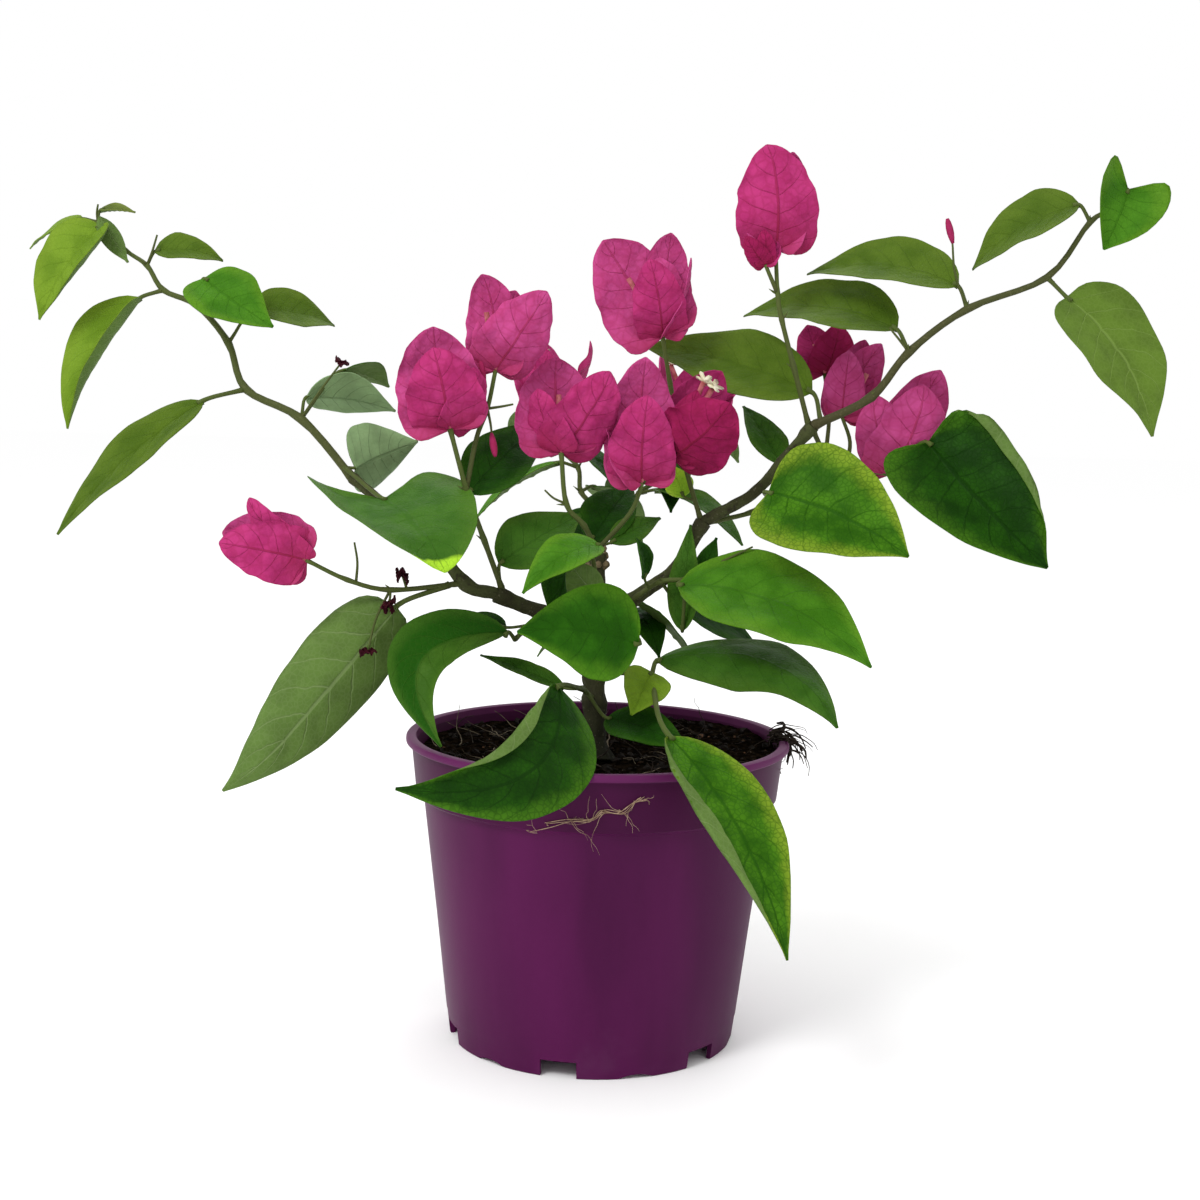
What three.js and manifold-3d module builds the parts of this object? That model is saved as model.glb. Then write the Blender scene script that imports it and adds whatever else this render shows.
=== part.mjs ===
// A young bougainvillea in its 15 cm nursery pot: one short trunk with a knobbly cut head, two long boughs
// that arch out left and right, one short bough behind, and masses of leaves and papery bracts on their shoots.
// Millimetres, +Z up, +X to the right, +Y away from the front. The origin is the middle of the pot's underside.
//
// Directions are compass-like: a bearing in degrees seen from above (0 right, 90 back, 180 left, 270 front)
// and a climb in degrees above the level.
import * as THREE from "three";
import { mergeVertices } from "three/addons/utils/BufferGeometryUtils.js";
import Module from "manifold-3d";

const wasm = await Module();
wasm.setup();

// Pot
const POT_HEIGHT = 120;
const RIM_RADIUS = 75.5;
const LIP_HEIGHT = 3;
const COLLAR_TOP_RADIUS = 73.4;
const COLLAR_FOOT_RADIUS = 71.2;
const COLLAR_HEIGHT = 22;
const BODY_TOP_RADIUS = 68.2;
const BASE_RADIUS = 56.6;
const WALL = 2;
const FOOT_HEIGHT = 7;
const PAD_RADIUS = 18;
const NOTCHES = 6;
const NOTCH_WIDTH = 14;
const FIRST_NOTCH_BEARING = 258;
const POT_SEGMENTS = 32;

// Soil
const SOIL_EDGE = 113.6;
const SOIL_HEAP = 2.6;
const HEAP_BEARING = 28;

// Limbs, leaves and bracts
const CLEAR = 0.3;
const REACH_OF_GAP = 1; // gaps are looked for this far
const START_STEP = 0.4; // how far a stem's start is moved out at a time
const START_STEPS = 40;
const TRUNK_FOOT = [-1, -16, 114.3];
const FLARE = 1.7;
const FLARE_HEIGHT = 9;
const FLARE_SIDES = 12;
const BELOW_SOIL = 4; // drawn this deep, then cut off level
const CUT_BLOCK = 60;
const LEAF_THICKNESS = 1.1;
const LEAF_SPANS = 4;
const SMALL_LEAF = 40;
const SMALL_SPANS = 3;
const LEAST_WIDTH = 1.4; // at a blade's base and tip
const STALK_RADIUS = 0.8;
const STALK_SIDES = 3;
const STEM_SIDES = 5;
const STEM_RADII = [1.3, 0.8]; // of a stem that states none
const WILD_CLIMB = 62; // of wild bracts
const SUNK = 1.5; // how deep a root is sunk
const BRACT_THICKNESS = 0.8;
const BRACT_SPANS = 3;
const BRACT_OFFSET = 0.6; // from the end of its stem
const BRACT_BEND = 36;
const BRACT_FOLD = -10;
const WILD_BRACTS = 3;
const WILD_BRACT = [38, 32]; // its length and width

// Colours
const PURPLE = 0x5e2257;
const EARTH = 0x241a14;
const BARK = 0x6b6248;
const GREEN = 0x3f7d22;
const PINK = 0xc83c8c;

// The limbs, each one taper: where it starts (its parent and the distance along it), its straight lengths
// [length, bearing, climb] and its radius at both ends.
const LIMBS = {
  trunk: { route: [[22, 95, 70], [22, 95, 68], [20, 280, 84], [17, 80, 85]], radii: [4.6, 3.0], sides: 12 },
  left_bough: { from: ["trunk", 50], route: [[17, 193, 19], [20, 193, 22]], radii: [2.9, 2.6], sides: 8 },
  left_upper_bough: {
    from: ["left_bough", 37],
    route: [[12, 189, 19], [23, 165, 48], [23, 162, 33], [16, 163, 35]],
    radii: [2.4, 1.9],
    sides: 8,
  },
  right_bough: {
    from: ["trunk", 53],
    route: [[18, 21, 31], [16, 18, 36], [21, 11, 60]],
    radii: [2.9, 2.4],
    sides: 8,
  },
  right_upper_bough: {
    from: ["right_bough", 55],
    route: [[22, 354, 32], [19, 341, 50], [16, 337, 50]],
    radii: [2.3, 2.0],
    sides: 8,
  },
  back_bough: {
    from: ["trunk", 40],
    route: [[24, 84, 34], [22, 102, 46], [14, 76, 40]],
    radii: [2.4, 1.8],
    sides: 8,
  },
};

// The masses. A mass has one stem that starts at a limb, straight lengths as above, and forks that leave one of
// its joints; joints are numbered along the stem and then along the forks.
// A leaf: joint, stalk [length, bearing, climb], blade [reach, width, bearing, climb], the way its upper side
// faces [bearing, climb], the bend along it and the fold across it in degrees, and where it has them the bow of
// its midrib to one side and the lobes behind its base, both as a share of its reach.
// A head: joint, and its bracts, each [length, width, bearing, climb, the bearing its outer side faces].
// A wild mass has no leaves listed: it grows by the seeded rule in growWild.
const MASSES = [
  {
    name: "left_arm_foliage",
    from: ["left_upper_bough", 74],
    stem: [[31, 159, 44], [26, 166, 25], [20, 152, 64], [20, 163, 46],
      [16, 165, 22], [12, 164, 53], [11, 168, 33], [16, 170, 43]],
    radii: [1.8, 0.7],
    leaves: [
      [0.15, [5, 10, 0], [33, 32, 45, 18], [115, 0], 30, 10, 0, 0],
      [0.18, [30, 313, -22], [56, 54, 303, -24], [284, 58], 40, 6, 0, 0.9],
      [1, [12, 80, 46], [37, 24, 22, -8], [80, 40], 35, 15],
      [1, [30, 53, 40], [28, 20, 53, -13], [90, 60], 30, 10],
      [2, [19, 212, -16], [76, 25, 203, -43], [235, 40], 25, 10],
      [3, [18, 32, 50], [35, 24, 31, -9], [280, 48], 35, 15],
      [4, [13, 307, 53], [36, 29, 341, -31], [290, 35], 20, 10, 0.06, 0.2],
      [5, [10, 194, -22], [60, 34, 207, -61], [236, 28], 38, 12, 0.02, 0],
      [6, [7, 0, 57], [27, 17, 13, -6], [280, 50], 50, 15],
      [8, [3, 304, 24], [24, 9, 329, -49], [120, 10], 10, 20],
      [8, [3, 300, -34], [46, 33, 213, -57], [244, 25], 30, 10, 0, 0.2],
      [8, [9, 152, 9], [29, 13, 158, -24], [230, 60], 30, 10],
      [8, [5, 0, 76], [16, 8, 345, -3], [290, 60], 20, 20],
    ],
  },
  {
    name: "left_low_spray",
    from: ["left_upper_bough", 12],
    stem: [[26, 201, -4], [17, 201, 14], [18, 205, 26]],
    radii: [1.1, 0.8],
    leaves: [[0.1, [23, 200, -22], [92, 34, 209, -47], [110, 5], 15, 8, -0.02, 0.1]],
    heads: [[3, [[33, 24, 191, 11, 275], [35, 27, 168, 15, 95], [33, 13, 175, 44, 250]]]],
  },
  {
    name: "left_rise_spray",
    from: ["left_bough", 33],
    stem: [[20, 211, 67], [21, 210, 68], [24, 213, 72]],
    radii: [1.2, 0.9],
    forks: [[2, [[20, 51, 75], [12, 27, 69], [15, 37, 77]]]],
    leaves: [
      [0.12, [7, 60, 84], [42, 26, 34, 26], [280, 45], 25, 10],
      [2, [6, 83, -14], [50, 26, 52, 31], [285, 45], 30, 10],
    ],
    heads: [
      [3, [[33, 31, 241, 68, 275], [40, 35, 153, 78, 95], [26, 20, 0, 66, 320]]],
      [6, [[37, 27, 337, 55, 290], [38, 24, 159, 81, 80], [33, 23, 51, 71, 100]]],
    ],
  },
  {
    name: "left_under_foliage",
    from: ["left_bough", 17],
    stem: [[13, 226, -32]],
    radii: [1.1, 0.9],
    leaves: [
      [1, [9, 250, 22], [51, 25, 234, -45], [262, 12], 15, 14, 0.42, 0],
      [0.3, [12, 149, -9], [26, 13, 158, 3], [270, 60], 10, 10],
    ],
  },
  {
    name: "centre_left_foliage",
    from: ["trunk", 53],
    stem: [[13, 271, 50], [14, 222, 78]],
    radii: [1.2, 0.9],
    leaves: [
      [1, [31, 311, -39], [51, 38, 208, 8], [268, 22], 25, 5, 0.05, 0],
      [1, [11, 275, -22], [21, 16, 206, 49], [110, 0], 30, 20],
      [2, [4, 340, 40], [38, 20, 212, -27], [250, 42], 70, 10],
    ],
  },
  {
    name: "low_front_foliage",
    from: ["trunk", 22],
    stem: [[12, 253, 25]],
    radii: [1.2, 1.0],
    leaves: [
      [1, [30, 253, 8], [82, 37, 227, -18], [296, 38], 40, -10, -0.18, 0.1],
      [1, [10, 143, -3], [35, 10, 173, 19], [270, 60], 10, 20],
      [0.6, [13, 340, -46], [38, 20, 326, -11], [290, 40], 30, 10],
    ],
  },
  {
    name: "low_right_foliage",
    from: ["trunk", 33],
    stem: [[11, 332, 6], [9, 333, -5]],
    radii: [1.2, 0.9],
    leaves: [
      [2, [8, 60, 48], [80, 34, 327, -12], [286, 50], 25, -15, -0.2, 0],
      [2, [5, 268, 29], [25, 20, 249, -32], [280, 30], 20, 20],
      [2, [52, 277, -15], [92, 36, 309, -46], [298, 35], 35, 12, -0.03, 0],
    ],
  },
  {
    name: "right_under_foliage",
    from: ["right_bough", 9],
    stem: [[11, 335, 34], [10, 349, 7]],
    radii: [1.2, 0.9],
    leaves: [
      [0.5, [8, 250, 40], [17, 13, 228, 71], [330, 20], 50, 10],
      [2, [8, 250, -10], [82, 46, 336, -18], [280, 50], 28, 8, -0.08, 0],
      [2, [21, 94, -74], [42, 14, 70, 81], [250, 10], 10, 20],
      [2, [13, 63, -5], [20, 9, 49, 57], [280, 20], 10, 10],
      [2, [21, 61, 8], [20, 6, 39, 15], [280, 50], 10, 10],
      [1, [17, 58, -31], [41, 22, 23, -28], [290, 50], 20, 10],
    ],
  },
  {
    name: "crown_spray",
    from: ["trunk", 81],
    stem: [[12, 217, 57], [11, 196, 49], [20, 221, 81]],
    radii: [1.2, 0.9],
    forks: [[0, [[20, 343, 49], [13, 335, 68]]], [5, [[15, 6, 44]]]],
    leaves: [
      [0.2, [8, 98, 12], [36, 22, 56, 36], [280, 50], 30, 10],
      [0.15, [9, 40, 10], [25, 13, 32, 22], [290, 50], 20, 10],
    ],
    heads: [
      [3, [[38, 27, 335, 56, 290], [38, 34, 111, 77, 95], [27, 20, 203, 66, 235]]],
      [5, [[36, 27, 275, 72, 272], [49, 30, 90, 88, 95], [37, 22, 166, 72, 130]]],
      [6, [[35, 33, 320, 38, 285], [40, 26, 25, 58, 95], [28, 16, 351, 70, 250]]],
    ],
  },
  {
    name: "right_rise_spray",
    from: ["right_bough", 54],
    stem: [[23, 164, 72], [32, 180, 78], [18, 211, 77]],
    radii: [1.1, 0.8],
    leaves: [[0.3, [6, 147, 17], [14, 12, 141, 63], [270, 10], 10, 10]],
    heads: [
      [3, [[32, 22, 239, 68, 275], [45, 37, 171, 56, 100], [42, 24, 65, 81, 85], [33, 12, 0, 71, 0]]],
    ],
  },
  {
    name: "top_spray",
    from: ["right_upper_bough", 55],
    stem: [[22, 205, 71], [19, 191, 73], [10, 180, 79], [17, 121, 82]],
    radii: [1.1, 0.8],
    forks: [[3, [[12, 201, 62]]]],
    heads: [
      [4, [[41, 33, 221, 81, 275], [39, 22, 42, 77, 80], [33, 21, 148, 64, 120]]],
      [5, [[14, 9, 206, 49, 250], [14, 9, 242, 81, 280], [11, 8, 32, 58, 60]]],
    ],
  },
  {
    name: "right_arm_foliage",
    from: ["right_upper_bough", 57],
    stem: [[24, 344, 28], [22, 343, 52], [27, 343, 38], [31, 348, 23], [25, 336, 54], [10, 333, 25]],
    radii: [1.9, 0.8],
    leaves: [
      [0.1, [17, 106, 43], [74, 36, 156, 13], [272, 42], 26, 10],
      [2, [11, 140, 54], [66, 33, 149, 4], [270, 50], 40, 15, 0.03, 0],
      [3, [10, 155, 62], [60, 32, 156, 4], [270, 52], 40, 15, 0.03, 0],
      [5, [8, 155, 51], [46, 29, 152, -31], [250, 50], 45, 15],
      [6, [4, 250, -10], [18, 32, 258, -58], [280, 30], 20, 12, 0, 2.6],
      [4, [11, 348, -44], [61, 42, 336, -56], [296, 25], 35, 10, -0.05, 0.2],
    ],
  },
  {
    name: "right_low_foliage",
    from: ["right_bough", 54],
    stem: [[14, 17, 13], [10, 332, 36]],
    radii: [1.1, 0.9],
    leaves: [
      [2, [25, 265, 9], [61, 50, 332, -20], [283, 22], 30, 12, -0.03, 0.25],
      [2, [17, 62, 58], [32, 17, 128, 44], [290, 40], 20, 10],
    ],
  },
  {
    name: "right_cluster_spray",
    from: ["right_upper_bough", 56],
    stem: [[13, 53, -41], [10, 13, -30], [17, 354, -8]],
    radii: [1.1, 0.8],
    forks: [[1, [[24, 81, 41], [21, 94, 49]]], [2, [[14, 76, 43], [11, 128, 63]]]],
    leaves: [[3, [21, 326, 38], [68, 54, 328, -42], [280, 20], 25, 10, 0.05, 0.3]],
    heads: [
      [5, [[22, 19, 305, 70, 280], [22, 18, 166, 67, 100], [20, 17, 21, 55, 60]]],
      [7, [[28, 18, 282, 77, 265], [34, 20, 8, 63, 95], [34, 19, 40, 69, 80]]],
      [3, [[39, 32, 322, 68, 280], [47, 28, 13, 65, 95], [33, 24, 173, 75, 235]]],
    ],
  },
  {
    name: "back_left_foliage",
    from: ["back_bough", 59],
    heading: [118, 42],
    joints: 5,
    pace: 14,
    size: 60,
    seed: 11,
    flowers: true,
  },
  {
    name: "back_right_foliage",
    from: ["back_bough", 59],
    heading: [45, 34],
    joints: 5,
    pace: 14,
    size: 58,
    seed: 23,
    flowers: true,
  },
  {
    name: "back_low_foliage",
    from: ["back_bough", 30],
    heading: [80, -16],
    joints: 4,
    pace: 14,
    size: 58,
    seed: 37,
    flowers: false,
  },
];

const UP = new THREE.Vector3(0, 0, 1);
const radians = THREE.MathUtils.degToRad;

function heading(bearing, climb) {
  const level = Math.cos(radians(climb));
  return new THREE.Vector3(
    level * Math.cos(radians(bearing)),
    level * Math.sin(radians(bearing)),
    Math.sin(radians(climb)),
  );
}

function headingOf(way) {
  return [THREE.MathUtils.radToDeg(Math.atan2(way.y, way.x)), THREE.MathUtils.radToDeg(Math.asin(way.z))];
}

function seeded(seed) {
  let state = seed;
  return () => {
    state = (Math.imul(state, 1664525) + 1013904223) >>> 0;
    return state / 2 ** 32;
  };
}

// A closed three.js geometry as a manifold-3d solid, and back.
function solidOf(geometry) {
  const bare = geometry.clone();
  bare.deleteAttribute("normal");
  bare.deleteAttribute("uv");
  const merged = mergeVertices(bare, 1e-4);
  const mesh = new wasm.Mesh({
    numProp: 3,
    vertProperties: merged.attributes.position.array,
    triVerts: new Uint32Array(merged.index.array),
  });
  return new wasm.Manifold(mesh);
}

function geometryOf(solid) {
  const mesh = solid.getMesh();
  const geometry = new THREE.BufferGeometry();
  geometry.setAttribute("position", new THREE.BufferAttribute(mesh.vertProperties, 3));
  geometry.setIndex(new THREE.BufferAttribute(mesh.triVerts, 1));
  geometry.computeVertexNormals();
  return geometry;
}

// Moves each vertex of a geometry to place(vertex).
function shaped(geometry, place) {
  const at = geometry.attributes.position;
  for (let i = 0; i < at.count; i++) {
    const moved = place(new THREE.Vector3().fromBufferAttribute(at, i));
    at.setXYZ(i, moved.x, moved.y, moved.z);
  }
  return geometry;
}

// The points of a route of straight lengths.
function pathOf(start, route) {
  const points = [start.clone()];
  for (const [length, bearing, climb] of route) {
    points.push(points.at(-1).clone().addScaledVector(heading(bearing, climb), length));
  }
  return points;
}

// A tapering limb: a cylinder whose rings stand at the path's points, each square to the way through.
function limbSolid(points, radiusAt, sides) {
  const last = points.length - 1;
  const frames = points.map((point, i) => {
    const along = points[Math.min(i + 1, last)].clone().sub(points[Math.max(i - 1, 0)]).normalize();
    return { point, along };
  });
  let side = new THREE.Vector3(1, 0, 0);
  for (const frame of frames) {
    side = side.clone().addScaledVector(frame.along, -side.dot(frame.along));
    if (side.length() < 0.2) side = new THREE.Vector3(0, 1, 0).cross(frame.along);
    side.normalize();
    frame.side = side;
    frame.other = side.clone().cross(frame.along);
  }
  const cylinder = new THREE.CylinderGeometry(1, 1, 1, sides, last);
  return solidOf(shaped(cylinder, (v) => {
    const ring = Math.round((v.y + 0.5) * last);
    const { point, side: x, other: z } = frames[ring];
    const radius = radiusAt(ring / last);
    return point.clone().addScaledVector(x, v.x * radius).addScaledVector(z, v.z * radius);
  }));
}

// Half the width of a leaf or a bract at the share s of its length.
function leafOutline(s) {
  return Math.sin(Math.PI * s ** 0.72) ** 0.85 * (1 - 0.35 * s ** 4);
}

function bractOutline(s) {
  return Math.sin(Math.PI * s ** 0.78) ** 0.55 * (1 - 0.3 * s ** 6);
}

// How far the sides of a blade are set back, as a share of its reach, when it has lobes behind its base.
function lobesAt(lobes, half, s) {
  return lobes * half ** 1.5 * (1 - s) ** 2;
}

// A blade: a thin box bent along an arc over its reach, bowed to one side, folded along the midrib and cut to
// its outline. It starts a little behind its base, sunk in what carries it.
function bladeSolid(base, [reach, width, bearing, climb], faces, shape) {
  const { bend, fold, bow = 0, lobes = 0, thickness, spans, outline } = shape;
  const chord = heading(bearing, climb);
  const up = heading(...faces);
  up.addScaledVector(chord, -up.dot(chord)).normalize();
  const aside = chord.clone().cross(up);
  const turn = radians(Math.max(bend, 1));
  const arc = reach / (2 * Math.sin(turn / 2));
  const root = base.clone()
    .addScaledVector(chord, -SUNK * Math.cos(turn / 2))
    .addScaledVector(up, -SUNK * Math.sin(turn / 2));
  const box = new THREE.BoxGeometry(1, 1, 1, 2, spans, 1);
  return solidOf(shaped(box, (v) => {
    const s = THREE.MathUtils.clamp(v.y + 0.5, 0, 1);
    const angle = turn * (s - 0.5);
    const drift = Math.atan(4 * bow * (1 - 2 * s));
    const along = chord.clone().multiplyScalar(Math.cos(angle)).addScaledVector(up, -Math.sin(angle));
    const normal = up.clone().multiplyScalar(Math.cos(angle)).addScaledVector(chord, Math.sin(angle));
    const across = aside.clone().multiplyScalar(Math.cos(drift)).addScaledVector(along, -Math.sin(drift));
    const share = outline(s);
    const half = Math.max(share * width, LEAST_WIDTH);
    const back = reach * lobesAt(lobes, share, s) * Math.abs(2 * v.x);
    return root.clone()
      .addScaledVector(chord, reach / 2 + arc * Math.sin(angle))
      .addScaledVector(up, arc * (Math.cos(angle) - Math.cos(turn / 2)))
      .addScaledVector(aside, 4 * bow * reach * s * (1 - s))
      .addScaledVector(across, v.x * half * Math.cos(radians(fold)))
      .addScaledVector(normal, Math.abs(v.x) * half * Math.sin(radians(fold)) + v.z * thickness)
      .addScaledVector(along, -back);
  }));
}

// A leaf on its stalk, which is sunk in the stem.
function leafSolid(joint, [length, bearing, climb], blade, faces, bend, fold, bow, lobes) {
  const along = heading(bearing, climb);
  const ends = [-SUNK, length + SUNK / 2].map((distance) => joint.clone().addScaledVector(along, distance));
  const base = joint.clone().addScaledVector(along, length);
  const spans = blade[0] > SMALL_LEAF || lobes ? LEAF_SPANS : SMALL_SPANS;
  const shape = { bend, fold, bow, lobes, thickness: LEAF_THICKNESS, spans, outline: leafOutline };
  return bladeSolid(base, blade, faces, shape).add(limbSolid(ends, () => STALK_RADIUS, STALK_SIDES));
}

// Bracts round the end of a flower stem, each hollow on its inner side.
function headSolid(joint, bracts) {
  const shape = {
    bend: BRACT_BEND, fold: BRACT_FOLD, thickness: BRACT_THICKNESS, spans: BRACT_SPANS, outline: bractOutline,
  };
  const made = bracts.map(([length, width, bearing, climb, facing]) => {
    const base = joint.clone().addScaledVector(heading(facing, 0), BRACT_OFFSET);
    return bladeSolid(base, [length, width, bearing, climb], [facing, 0], shape);
  });
  return made.reduce((whole, bract) => whole.add(bract));
}

// Wild growth: a stem that leans to one side and the other at its joints, with one leaf at each joint, every
// leaf two fifths of a turn on from the last, smaller towards the tip, and a head of bracts on the end.
function growWild({ heading: [bearing, climb], joints, pace, size, seed, flowers }) {
  const random = seeded(seed);
  const stem = [];
  const leaves = [];
  for (let j = 0; j < joints; j++) {
    const lean = (j % 2 ? 1 : -1) * (14 + 10 * random());
    stem.push([pace * (0.85 + 0.3 * random()), bearing + lean, climb + 16 * (random() - 0.4)]);
    const way = bearing + 144 * (j + 1) + 30 * (random() - 0.5);
    const reach = size * (1 - 0.12 * j) * (0.85 + 0.2 * random());
    const droop = -22 - 34 * random();
    leaves.push([j + 1, [9, way, 12], [reach, 0.5 * reach, way, droop], [way, 50], 30 + 20 * random(), 12]);
  }
  const bracts = [];
  for (let i = 0; i < WILD_BRACTS; i++) {
    const turn = bearing + (360 / WILD_BRACTS) * i;
    bracts.push([...WILD_BRACT, turn, WILD_CLIMB, turn]);
  }
  return { stem, leaves, heads: flowers ? [[joints, bracts]] : [] };
}

// A joint by its number, or the place between two joints.
function pointAt(joints, number) {
  const whole = Math.floor(number);
  const next = joints[Math.min(whole + 1, joints.length - 1)];
  return joints[whole].clone().lerp(next, number - whole);
}

// The point on a limb at a distance along it.
function pointOn(points, distance) {
  let left = distance;
  for (let i = 1; i < points.length; i++) {
    const length = points[i - 1].distanceTo(points[i]);
    if (left <= length || i === points.length - 1) {
      return points[i - 1].clone().lerp(points[i], Math.min(left / length, 1));
    }
    left -= length;
  }
  return points[0].clone();
}

// A stem starts on its limb and is moved out along its own way until it stands clear of what stands already.
function startClear(point, route, radius, standing) {
  const way = heading(route[0][1], route[0][2]);
  const start = point.clone();
  for (let step = 0; step < START_STEPS; step++) {
    const stub = limbSolid(pathOf(start, [route[0]]), () => radius, STEM_SIDES);
    if (standing.every(({ solid }) => stub.minGap(solid, REACH_OF_GAP) >= CLEAR)) break;
    start.addScaledVector(way, START_STEP);
  }
  return start;
}

function growLimbs() {
  const limbs = [];
  for (const [name, { from, route, radii, sides }] of Object.entries(LIMBS)) {
    const parent = from && limbs.find((limb) => limb.name === from[0]);
    const start = from
      ? startClear(pointOn(parent.points, from[1]), route, radii[0], limbs)
      : new THREE.Vector3(...TRUNK_FOOT);
    const points = pathOf(start, route);
    const radiusAt = (s) => radii[0] + (radii[1] - radii[0]) * s;
    const taper = limbSolid(points, radiusAt, sides);
    limbs.push({ name, points, solid: from ? taper : withFlare(taper, points, radii[0]) });
  }
  return limbs;
}

// The trunk ends in a flat cut level with the soil, where it flares into its roots.
function withFlare(taper, [foot, next], radius) {
  const way = next.clone().sub(foot).normalize();
  const below = foot.clone().addScaledVector(way, -BELOW_SOIL);
  const shoulder = foot.clone().addScaledVector(way, FLARE_HEIGHT);
  const flare = limbSolid([below, foot, shoulder], (s) => radius * (FLARE - (FLARE - 1) * s), FLARE_SIDES);
  const under = new THREE.BoxGeometry(CUT_BLOCK, CUT_BLOCK, CUT_BLOCK);
  under.translate(foot.x, foot.y, foot.z - CUT_BLOCK / 2);
  return taper.add(flare).subtract(solidOf(under));
}

// A mass's own stem and forks, with the joints that its leaves and heads stand on.
function growStems(mass, limbs, standing) {
  const [limbName, distance] = mass.from;
  const grown = mass.heading ? growWild(mass) : mass;
  const { stem, forks = [] } = grown;
  const [thick, thin] = mass.radii ?? STEM_RADII;
  const limb = limbs.find(({ name }) => name === limbName);
  const start = startClear(pointOn(limb.points, distance), stem, thick, standing);
  const joints = pathOf(start, stem);
  let solid = limbSolid(joints, (s) => thick + (thin - thick) * s, STEM_SIDES);
  for (const [joint, route] of forks) {
    const points = pathOf(joints[joint], route);
    solid = solid.add(limbSolid(points, () => thin, STEM_SIDES));
    joints.push(...points.slice(1));
  }
  return { name: mass.name, grown, joints, solid };
}

// Fuses a mass's leaves and heads to its stems. One that would touch a limb or another mass is skipped.
function dress(mass, others, skipped) {
  const { leaves = [], heads = [] } = mass.grown;
  const pieces = [
    ...leaves.map(([joint, ...leaf]) => leafSolid(pointAt(mass.joints, joint), ...leaf)),
    ...heads.map(([joint, ...head]) => headSolid(pointAt(mass.joints, joint), ...head)),
  ];
  pieces.forEach((piece, i) => {
    const touched = others.find(({ solid }) => piece.minGap(solid, REACH_OF_GAP) < CLEAR);
    if (touched) skipped.push(`${mass.name} ${i} touches ${touched.name}`);
    else mass.solid = mass.solid.add(piece);
  });
}

function potSolid() {
  const collarFoot = POT_HEIGHT - COLLAR_HEIGHT;
  const wallAt = (z) => BASE_RADIUS + ((BODY_TOP_RADIUS - BASE_RADIUS) * z) / collarFoot;
  const outline = [
    [0, 0], [PAD_RADIUS, 0], [PAD_RADIUS, FOOT_HEIGHT],
    [wallAt(FOOT_HEIGHT) - WALL, FOOT_HEIGHT], [BASE_RADIUS - WALL, 0], [BASE_RADIUS, 0],
    [BODY_TOP_RADIUS, collarFoot - 1], [COLLAR_FOOT_RADIUS, collarFoot],
    [COLLAR_TOP_RADIUS, POT_HEIGHT - LIP_HEIGHT], [RIM_RADIUS, POT_HEIGHT - LIP_HEIGHT],
    [RIM_RADIUS, POT_HEIGHT - 0.8], [RIM_RADIUS - 0.8, POT_HEIGHT], [COLLAR_TOP_RADIUS - WALL, POT_HEIGHT],
    [COLLAR_FOOT_RADIUS - WALL, collarFoot + 2], [BODY_TOP_RADIUS - WALL, collarFoot - 1],
    [wallAt(FOOT_HEIGHT + WALL) - WALL, FOOT_HEIGHT + WALL], [0, FOOT_HEIGHT + WALL],
  ];
  const profile = outline.map(([r, z]) => new THREE.Vector2(r, z));
  let pot = solidOf(new THREE.LatheGeometry(profile, POT_SEGMENTS).rotateX(Math.PI / 2));
  for (let i = 0; i < NOTCHES; i++) {
    const notch = new THREE.BoxGeometry(20, NOTCH_WIDTH, 2 * FOOT_HEIGHT - 0.6);
    notch.translate(BASE_RADIUS, 0, 0).rotateZ(radians(FIRST_NOTCH_BEARING + (360 / NOTCHES) * i));
    pot = pot.subtract(solidOf(notch));
  }
  return pot;
}

// The soil fills the pot to just under the rim, and is heaped up at one side.
function soilSolid() {
  const floor = FOOT_HEIGHT + WALL + CLEAR;
  const collarFoot = POT_HEIGHT - COLLAR_HEIGHT;
  const gap = WALL + 2 * CLEAR;
  const top = COLLAR_TOP_RADIUS - gap - 0.6;
  const outline = [
    [0, floor], [BASE_RADIUS - gap + 0.6, floor], [BODY_TOP_RADIUS - gap, collarFoot - 2],
    [COLLAR_FOOT_RADIUS - gap, collarFoot + 3], [top, SOIL_EDGE], [0.7 * top, SOIL_EDGE + 0.2],
    [0, SOIL_EDGE + 0.3],
  ];
  const profile = outline.map(([r, z]) => new THREE.Vector2(r, z));
  const lathe = new THREE.LatheGeometry(profile, POT_SEGMENTS).rotateX(Math.PI / 2);
  const heap = heading(HEAP_BEARING, 0);
  return solidOf(shaped(lathe, (v) => {
    const across = v.clone().setZ(0);
    const share = Math.max(0, across.dot(heap) / top - 0.45);
    if (v.z > SOIL_EDGE - 1) v.z += SOIL_HEAP * share * 2;
    return v;
  }));
}

function meshOf({ name, solid }, color, roughness) {
  const material = new THREE.MeshStandardMaterial({ color, roughness, metalness: 0 });
  const mesh = new THREE.Mesh(geometryOf(solid), material);
  mesh.name = name;
  return mesh;
}

function buildPlant() {
  const pot = { name: "pot", solid: potSolid() };
  const soil = { name: "soil", solid: soilSolid() };
  const limbs = growLimbs();
  const standing = [pot, soil, ...limbs];
  const masses = [];
  for (const mass of MASSES) masses.push(growStems(mass, limbs, [...standing, ...masses]));
  const skipped = [];
  for (const mass of masses) {
    dress(mass, [...standing, ...masses.filter((other) => other !== mass)], skipped);
  }

  const plant = new THREE.Group();
  plant.add(meshOf(pot, PURPLE, 0.45), meshOf(soil, EARTH, 1));
  for (const limb of limbs) plant.add(meshOf(limb, BARK, 0.85));
  for (const mass of masses) plant.add(meshOf(mass, mass.name.endsWith("spray") ? PINK : GREEN, 0.6));
  plant.userData.skipped = skipped;
  return plant;
}

export default buildPlant();
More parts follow.
